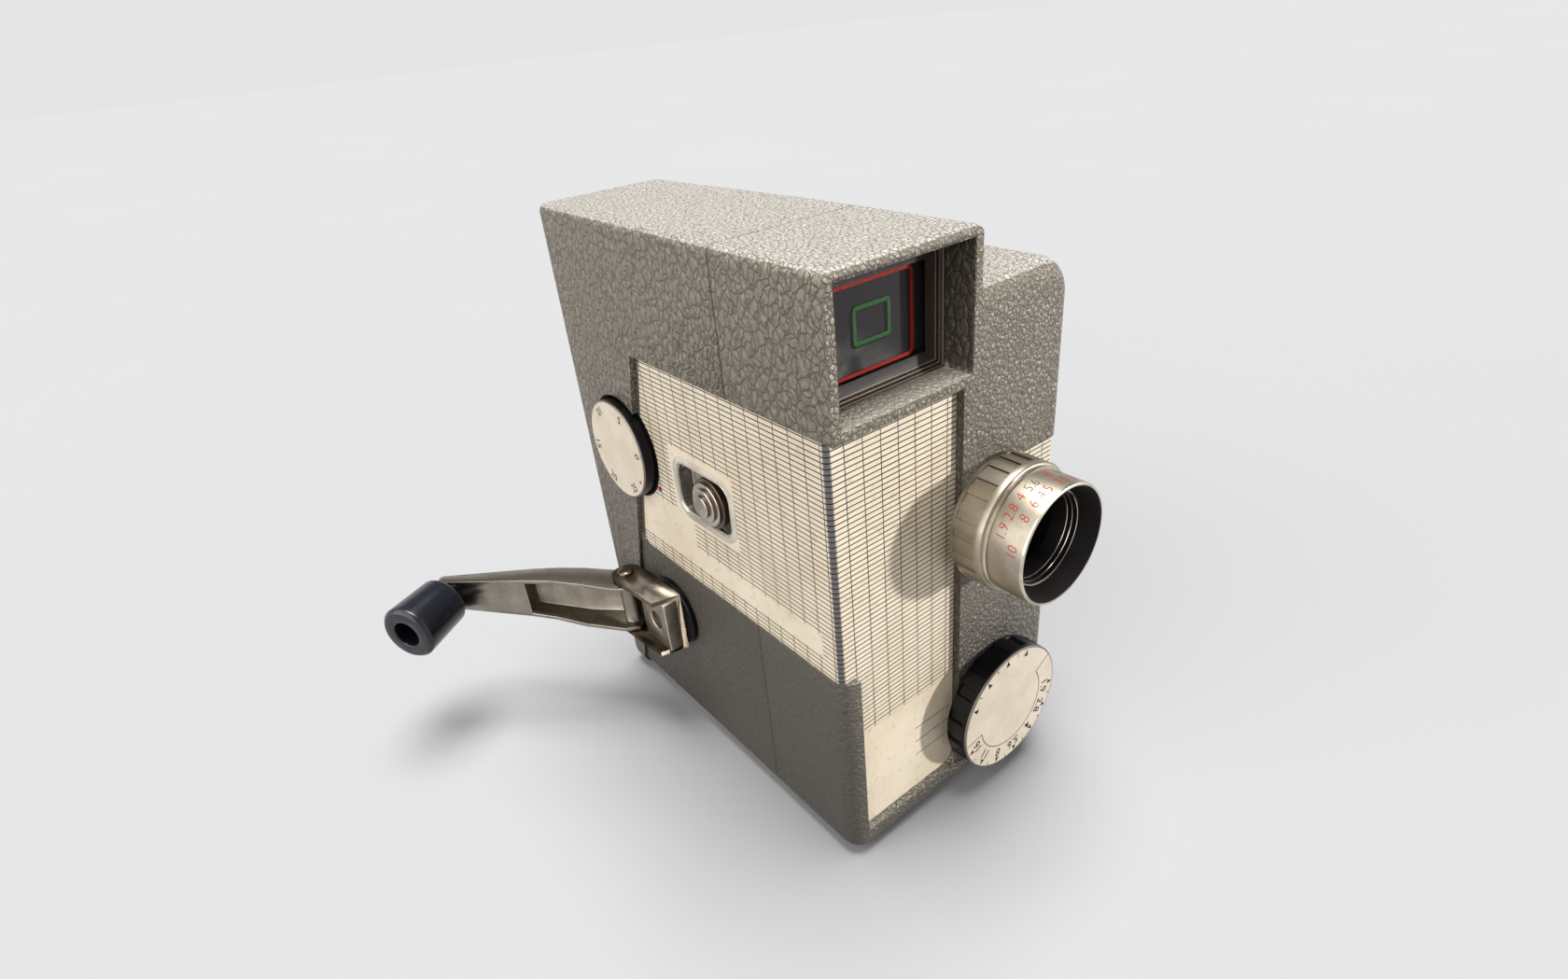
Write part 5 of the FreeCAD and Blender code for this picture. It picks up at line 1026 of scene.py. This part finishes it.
class MOVIE_CAMERA_OT_footage_dial(bpy.types.Operator):
    """Film counter with its printed card, in its well"""
    bl_idname = "movie_camera.footage_dial"
    bl_label = "Footage dial"

    def execute(self, context):
        knob = turned("X", FOOTAGE, PROFILES["footage_grip"], 96)
        finished("footage_grip", knob, "footage_dial", "black", "footage_knob")
        rim = turned("X", FOOTAGE, PROFILES["footage_rim"], 96)
        finished("footage_rim", rim, "footage_dial", "gunmetal")
        dressed("card", "footage_face")
        dressed("inside_black", "dial_well")
        dressed("steel", "footage_shaft")
        mesh = bmesh.new()
        feet = (("0", 8.6), ("5", 64.8), ("10", 122.9), ("15", -171.3), ("20", -118.5), ("25", -57.3))
        for text, degrees in feet:
            place = dial_spot(FOOTAGE, degrees, 9.55, CARD_FRONT, "X", inward=True)
            added(mesh, numeral(text, 2.0, thin=-0.01), place)
        finished("footage_print", mesh, "footage_dial", "ink")
        dot = bmesh.new()
        added(dot, spot_mark(0.4), dial_spot(FOOTAGE, -30.3, 10.35, CARD_FRONT, "X"))
        finished("footage_dot", dot, "footage_dial", "red")
        return {"FINISHED"}


class MOVIE_CAMERA_OT_start_button(bpy.types.Operator):
    """Stepped start button and its plated dish"""
    bl_idname = "movie_camera.start_button"
    bl_label = "Start button"

    def execute(self, context):
        button = turned("X", BUTTON, PROFILES["start_button_cap"], 96)
        for face in button.faces:
            along = away(face, "X", BUTTON)[1]
            # Painted shade: the walls between the steps are painted darker than the step faces.
            face.material_index = 0 if abs(face.normal.x) > 0.3 and along < 0.5 else 1
        finished("start_button_cap", button, "button", "button button_wall", "start_button")
        dish = softened("button_dish", sizes()["metal_round"] * 0.8)
        finished("start_dish", dish, "case", "dish", "button_dish")
        # The plated rim's cream tone is a painted reflection of the cream plate beside it.
        rim = rounded_panel((22.4, 15.2), 5.0, 8)
        stepped(rim, ((0.3, 0.1), (0.45, 0.1), (0.6, 0.02), (0.35, -0.12), (0.15, -0.3)))
        thickened(rim, 0.1)
        mesh = bmesh.new()
        added(mesh, rim, facing((0, -1, 0), (0, 0, 1), (1.12, *DISH)))
        finished("dish_rim", mesh, "case", "lip")
        dressed("steel", "button_slider")
        return {"FINISHED"}


class MOVIE_CAMERA_OT_winding_key(bpy.types.Operator):
    """Bracket, hub and pivot of the winding key, with the black disc behind them"""
    bl_idname = "movie_camera.winding_key"
    bl_label = "Winding key"

    def execute(self, context):
        radius = sizes()["metal_round"]
        finished("key_yoke", softened("key_bracket", radius * 1.3, 3), "winding_key", "yoke",
                 "key_bracket")
        finished("key_block", softened("key_hub", radius, 3), "winding_key", "nickel", "key_hub")
        pin = turned("Z", (-5.4, 74.8), PROFILES["pivot_rivet"], 48)
        finished("pivot_rivet", pin, "winding_key", "yoke", "pivot_pin")
        disc = turned("X", KEY, PROFILES["key_washer"], 96)
        finished("key_washer", disc, "case", "black", "key_disc")
        dressed("screw", "key_screw")
        dressed("steel", "key_shaft", "ratchet_wheel", "ratchet_pawl")
        return {"FINISHED"}


class MOVIE_CAMERA_OT_crank(bpy.types.Operator):
    """Crank arm and its knob"""
    bl_idname = "movie_camera.crank"
    bl_label = "Crank"

    def execute(self, context):
        radius = sizes()["metal_round"]
        lever, grip = softened("crank_arm", radius * 0.8), softened("crank_knob", radius, 3)
        finished("crank_lever", lever, "arm", "arm_nickel", "crank_arm")
        finished("crank_grip", grip, "knob", "knob", "crank_knob")
        dressed("bright", "knob_pin")
        return {"FINISHED"}


class MOVIE_CAMERA_OT_film_door(bpy.types.Operator):
    """Film door, its hinge and its latch"""
    bl_idname = "movie_camera.film_door"
    bl_label = "Film door"

    def execute(self, context):
        mesh = softened("film_door", sizes()["paint_round"] * 0.7)
        corners(mesh, "side", mesh.faces, 1.0)
        finished("film_lid", mesh, "door", "door_paint", "film_door")
        latch = softened("door_latch", sizes()["metal_round"])
        finished("latch_grip", latch, "latch", "nickel", "door_latch")
        dressed("steel", "hinge_pin")
        return {"FINISHED"}


class MOVIE_CAMERA_OT_base(bpy.types.Operator):
    """Threaded tripod bush in the underside"""
    bl_idname = "movie_camera.base"
    bl_label = "Tripod bush"

    def execute(self, context):
        pitch, deep, bore, thread = 1.27, 6.5, 3.17, 0.45
        profile = [(0.0, bore)]
        for number in range(int(deep / pitch)):
            start = 0.15 + number * pitch
            profile += [(start, bore), (start + pitch / 2, bore - thread), (start + pitch * 0.98, bore)]
        profile += [(deep, bore), (deep, 0.0)]
        profile += [(8.0, 0.0), (8.0, 6.0), (4.0, 6.0), (4.0, 8.0), (2.5, 8.0), (2.5, 6.0), (0.3, 6.0),
                    (0.0, 5.7), (0.0, bore)]
        bush = turned("Z", ORIGIN[:2], profile, 72)
        finished("threaded_bush", bush, "case", "steel", "tripod_bush")
        return {"FINISHED"}


class MOVIE_CAMERA_OT_inside(bpy.types.Operator):
    """Drive, shutter and film path inside the case"""
    bl_idname = "movie_camera.inside"
    bl_label = "Inside"

    def execute(self, context):
        dressed("gunmetal", "mechanism_plate", "shutter_bracket", "film_gate", "pad_block")
        dressed("steel", "plate_pillar_1", "plate_pillar_2", "plate_pillar_3", "mainspring", "film_claw",
                "take_up_spindle", "supply_spindle", "pressure_pad")
        dressed("brass", "spring_drum", "drum_wheel", "second_wheel", "third_wheel", "governor")
        dressed("inside_black", "shutter_disc")
        return {"FINISHED"}


class MOVIE_CAMERA_OT_stage(bpy.types.Operator):
    """Pale floor, soft light and the camera at the photograph's angle"""
    bl_idname = "movie_camera.stage"
    bl_label = "Stage"

    def execute(self, context):
        scene = context.scene
        mesh = bmesh.new()
        bmesh.ops.create_grid(mesh, x_segments=1, y_segments=1, size=FLOOR_HALF)
        data = bpy.data.meshes.new("floor")
        mesh.to_mesh(data)
        mesh.free()
        data.materials.append(Kit.get("floor"))
        floor = bpy.data.objects.new("floor", data)
        scene.collection.objects.link(floor)
        for lamp in LAMPS:
            self.lamp(*lamp)
        self.sky(scene)
        self.viewpoint(scene)
        scene.view_settings.view_transform = "Standard"
        return {"FINISHED"}

    def lamp(self, name, travel, strength, spread):
        """A soft distant lamp whose light travels in a direction."""
        light = bpy.data.lights.new(name, "SUN")
        light.energy = strength
        light.angle = math.radians(spread)
        item = bpy.data.objects.new(name, light)
        item.rotation_euler = Vector(travel).to_track_quat("-Z", "Y").to_euler()
        bpy.context.scene.collection.objects.link(item)

    def sky(self, scene):
        """Lights the object plainly, and shows pale at its foot and darker overhead in reflections."""
        studio = Finish(bpy.data.worlds.new("studio"))
        colours = scene.movie_camera_colours
        height = studio.parts(studio.node("ShaderNodeTexCoord"))[2]
        seen = studio.blend(height.above(0.38, 0.2), colours.backdrop, colours.overhead)
        seen = studio.blend(height.above(0.85, 0.08), seen, colours.backdrop)
        shown = studio.node("ShaderNodeBackground", {}, {0: seen, 1: 1.0})
        lit = studio.node("ShaderNodeBackground", {}, {0: (1.0, 1.0, 1.0, 1.0), 1: SKY_LIGHT})
        mix = studio.node("ShaderNodeMixShader", {}, {0: studio.pale_rays(), 1: lit, 2: shown})
        studio.node("ShaderNodeOutputWorld", {}, {0: mix})
        scene.world = studio.owner

    def viewpoint(self, scene):
        """The camera, as the photograph's perspective gives it."""
        data = bpy.data.cameras.new("viewpoint")
        data.sensor_width = 36.0
        data.lens = 19.484
        data.clip_start, data.clip_end = 0.01, 50.0
        right = Vector((0.7767574, -0.6238427, -0.0864192))
        down = Vector((-0.3682736, -0.3385978, -0.8658672))
        ahead = Vector((0.5109036, 0.7043946, -0.4927531))
        turn = Matrix((right, -down, -ahead)).transposed()
        item = bpy.data.objects.new("viewpoint", data)
        item.matrix_world = Matrix.Translation((-0.1064, -0.1311, 0.1602)) @ turn.to_4x4()
        scene.collection.objects.link(item)
        scene.camera = item


OPERATORS = (
    MOVIE_CAMERA_OT_castings, MOVIE_CAMERA_OT_printed_plates, MOVIE_CAMERA_OT_finder, MOVIE_CAMERA_OT_lens,
    MOVIE_CAMERA_OT_exposure_dial, MOVIE_CAMERA_OT_footage_dial, MOVIE_CAMERA_OT_start_button,
    MOVIE_CAMERA_OT_winding_key, MOVIE_CAMERA_OT_crank, MOVIE_CAMERA_OT_film_door, MOVIE_CAMERA_OT_base,
    MOVIE_CAMERA_OT_inside, MOVIE_CAMERA_OT_stage,
)


class VIEW3D_PT_movie_camera(bpy.types.Panel):
    """Lists the pieces in the order in which they are made"""
    bl_idname = "VIEW3D_PT_movie_camera"
    bl_label = "Movie Camera"
    bl_space_type = "VIEW_3D"
    bl_region_type = "UI"
    bl_category = "Movie Camera"

    def draw(self, context):
        for operator in OPERATORS:
            self.layout.operator(operator.bl_idname)


CLASSES = (MovieCameraSizes, MovieCameraColours, *OPERATORS, VIEW3D_PT_movie_camera)


def register():
    for each in CLASSES:
        bpy.utils.register_class(each)
    bpy.types.Scene.movie_camera_sizes = bpy.props.PointerProperty(type=MovieCameraSizes)
    bpy.types.Scene.movie_camera_colours = bpy.props.PointerProperty(type=MovieCameraColours)


def unregister():
    del bpy.types.Scene.movie_camera_colours
    del bpy.types.Scene.movie_camera_sizes
    for each in reversed(CLASSES):
        bpy.utils.unregister_class(each)


def main():
    register()
    for operator in OPERATORS:
        group, name = operator.bl_idname.split(".")
        getattr(getattr(bpy.ops, group), name)()


if __name__ == "__main__":
    main()
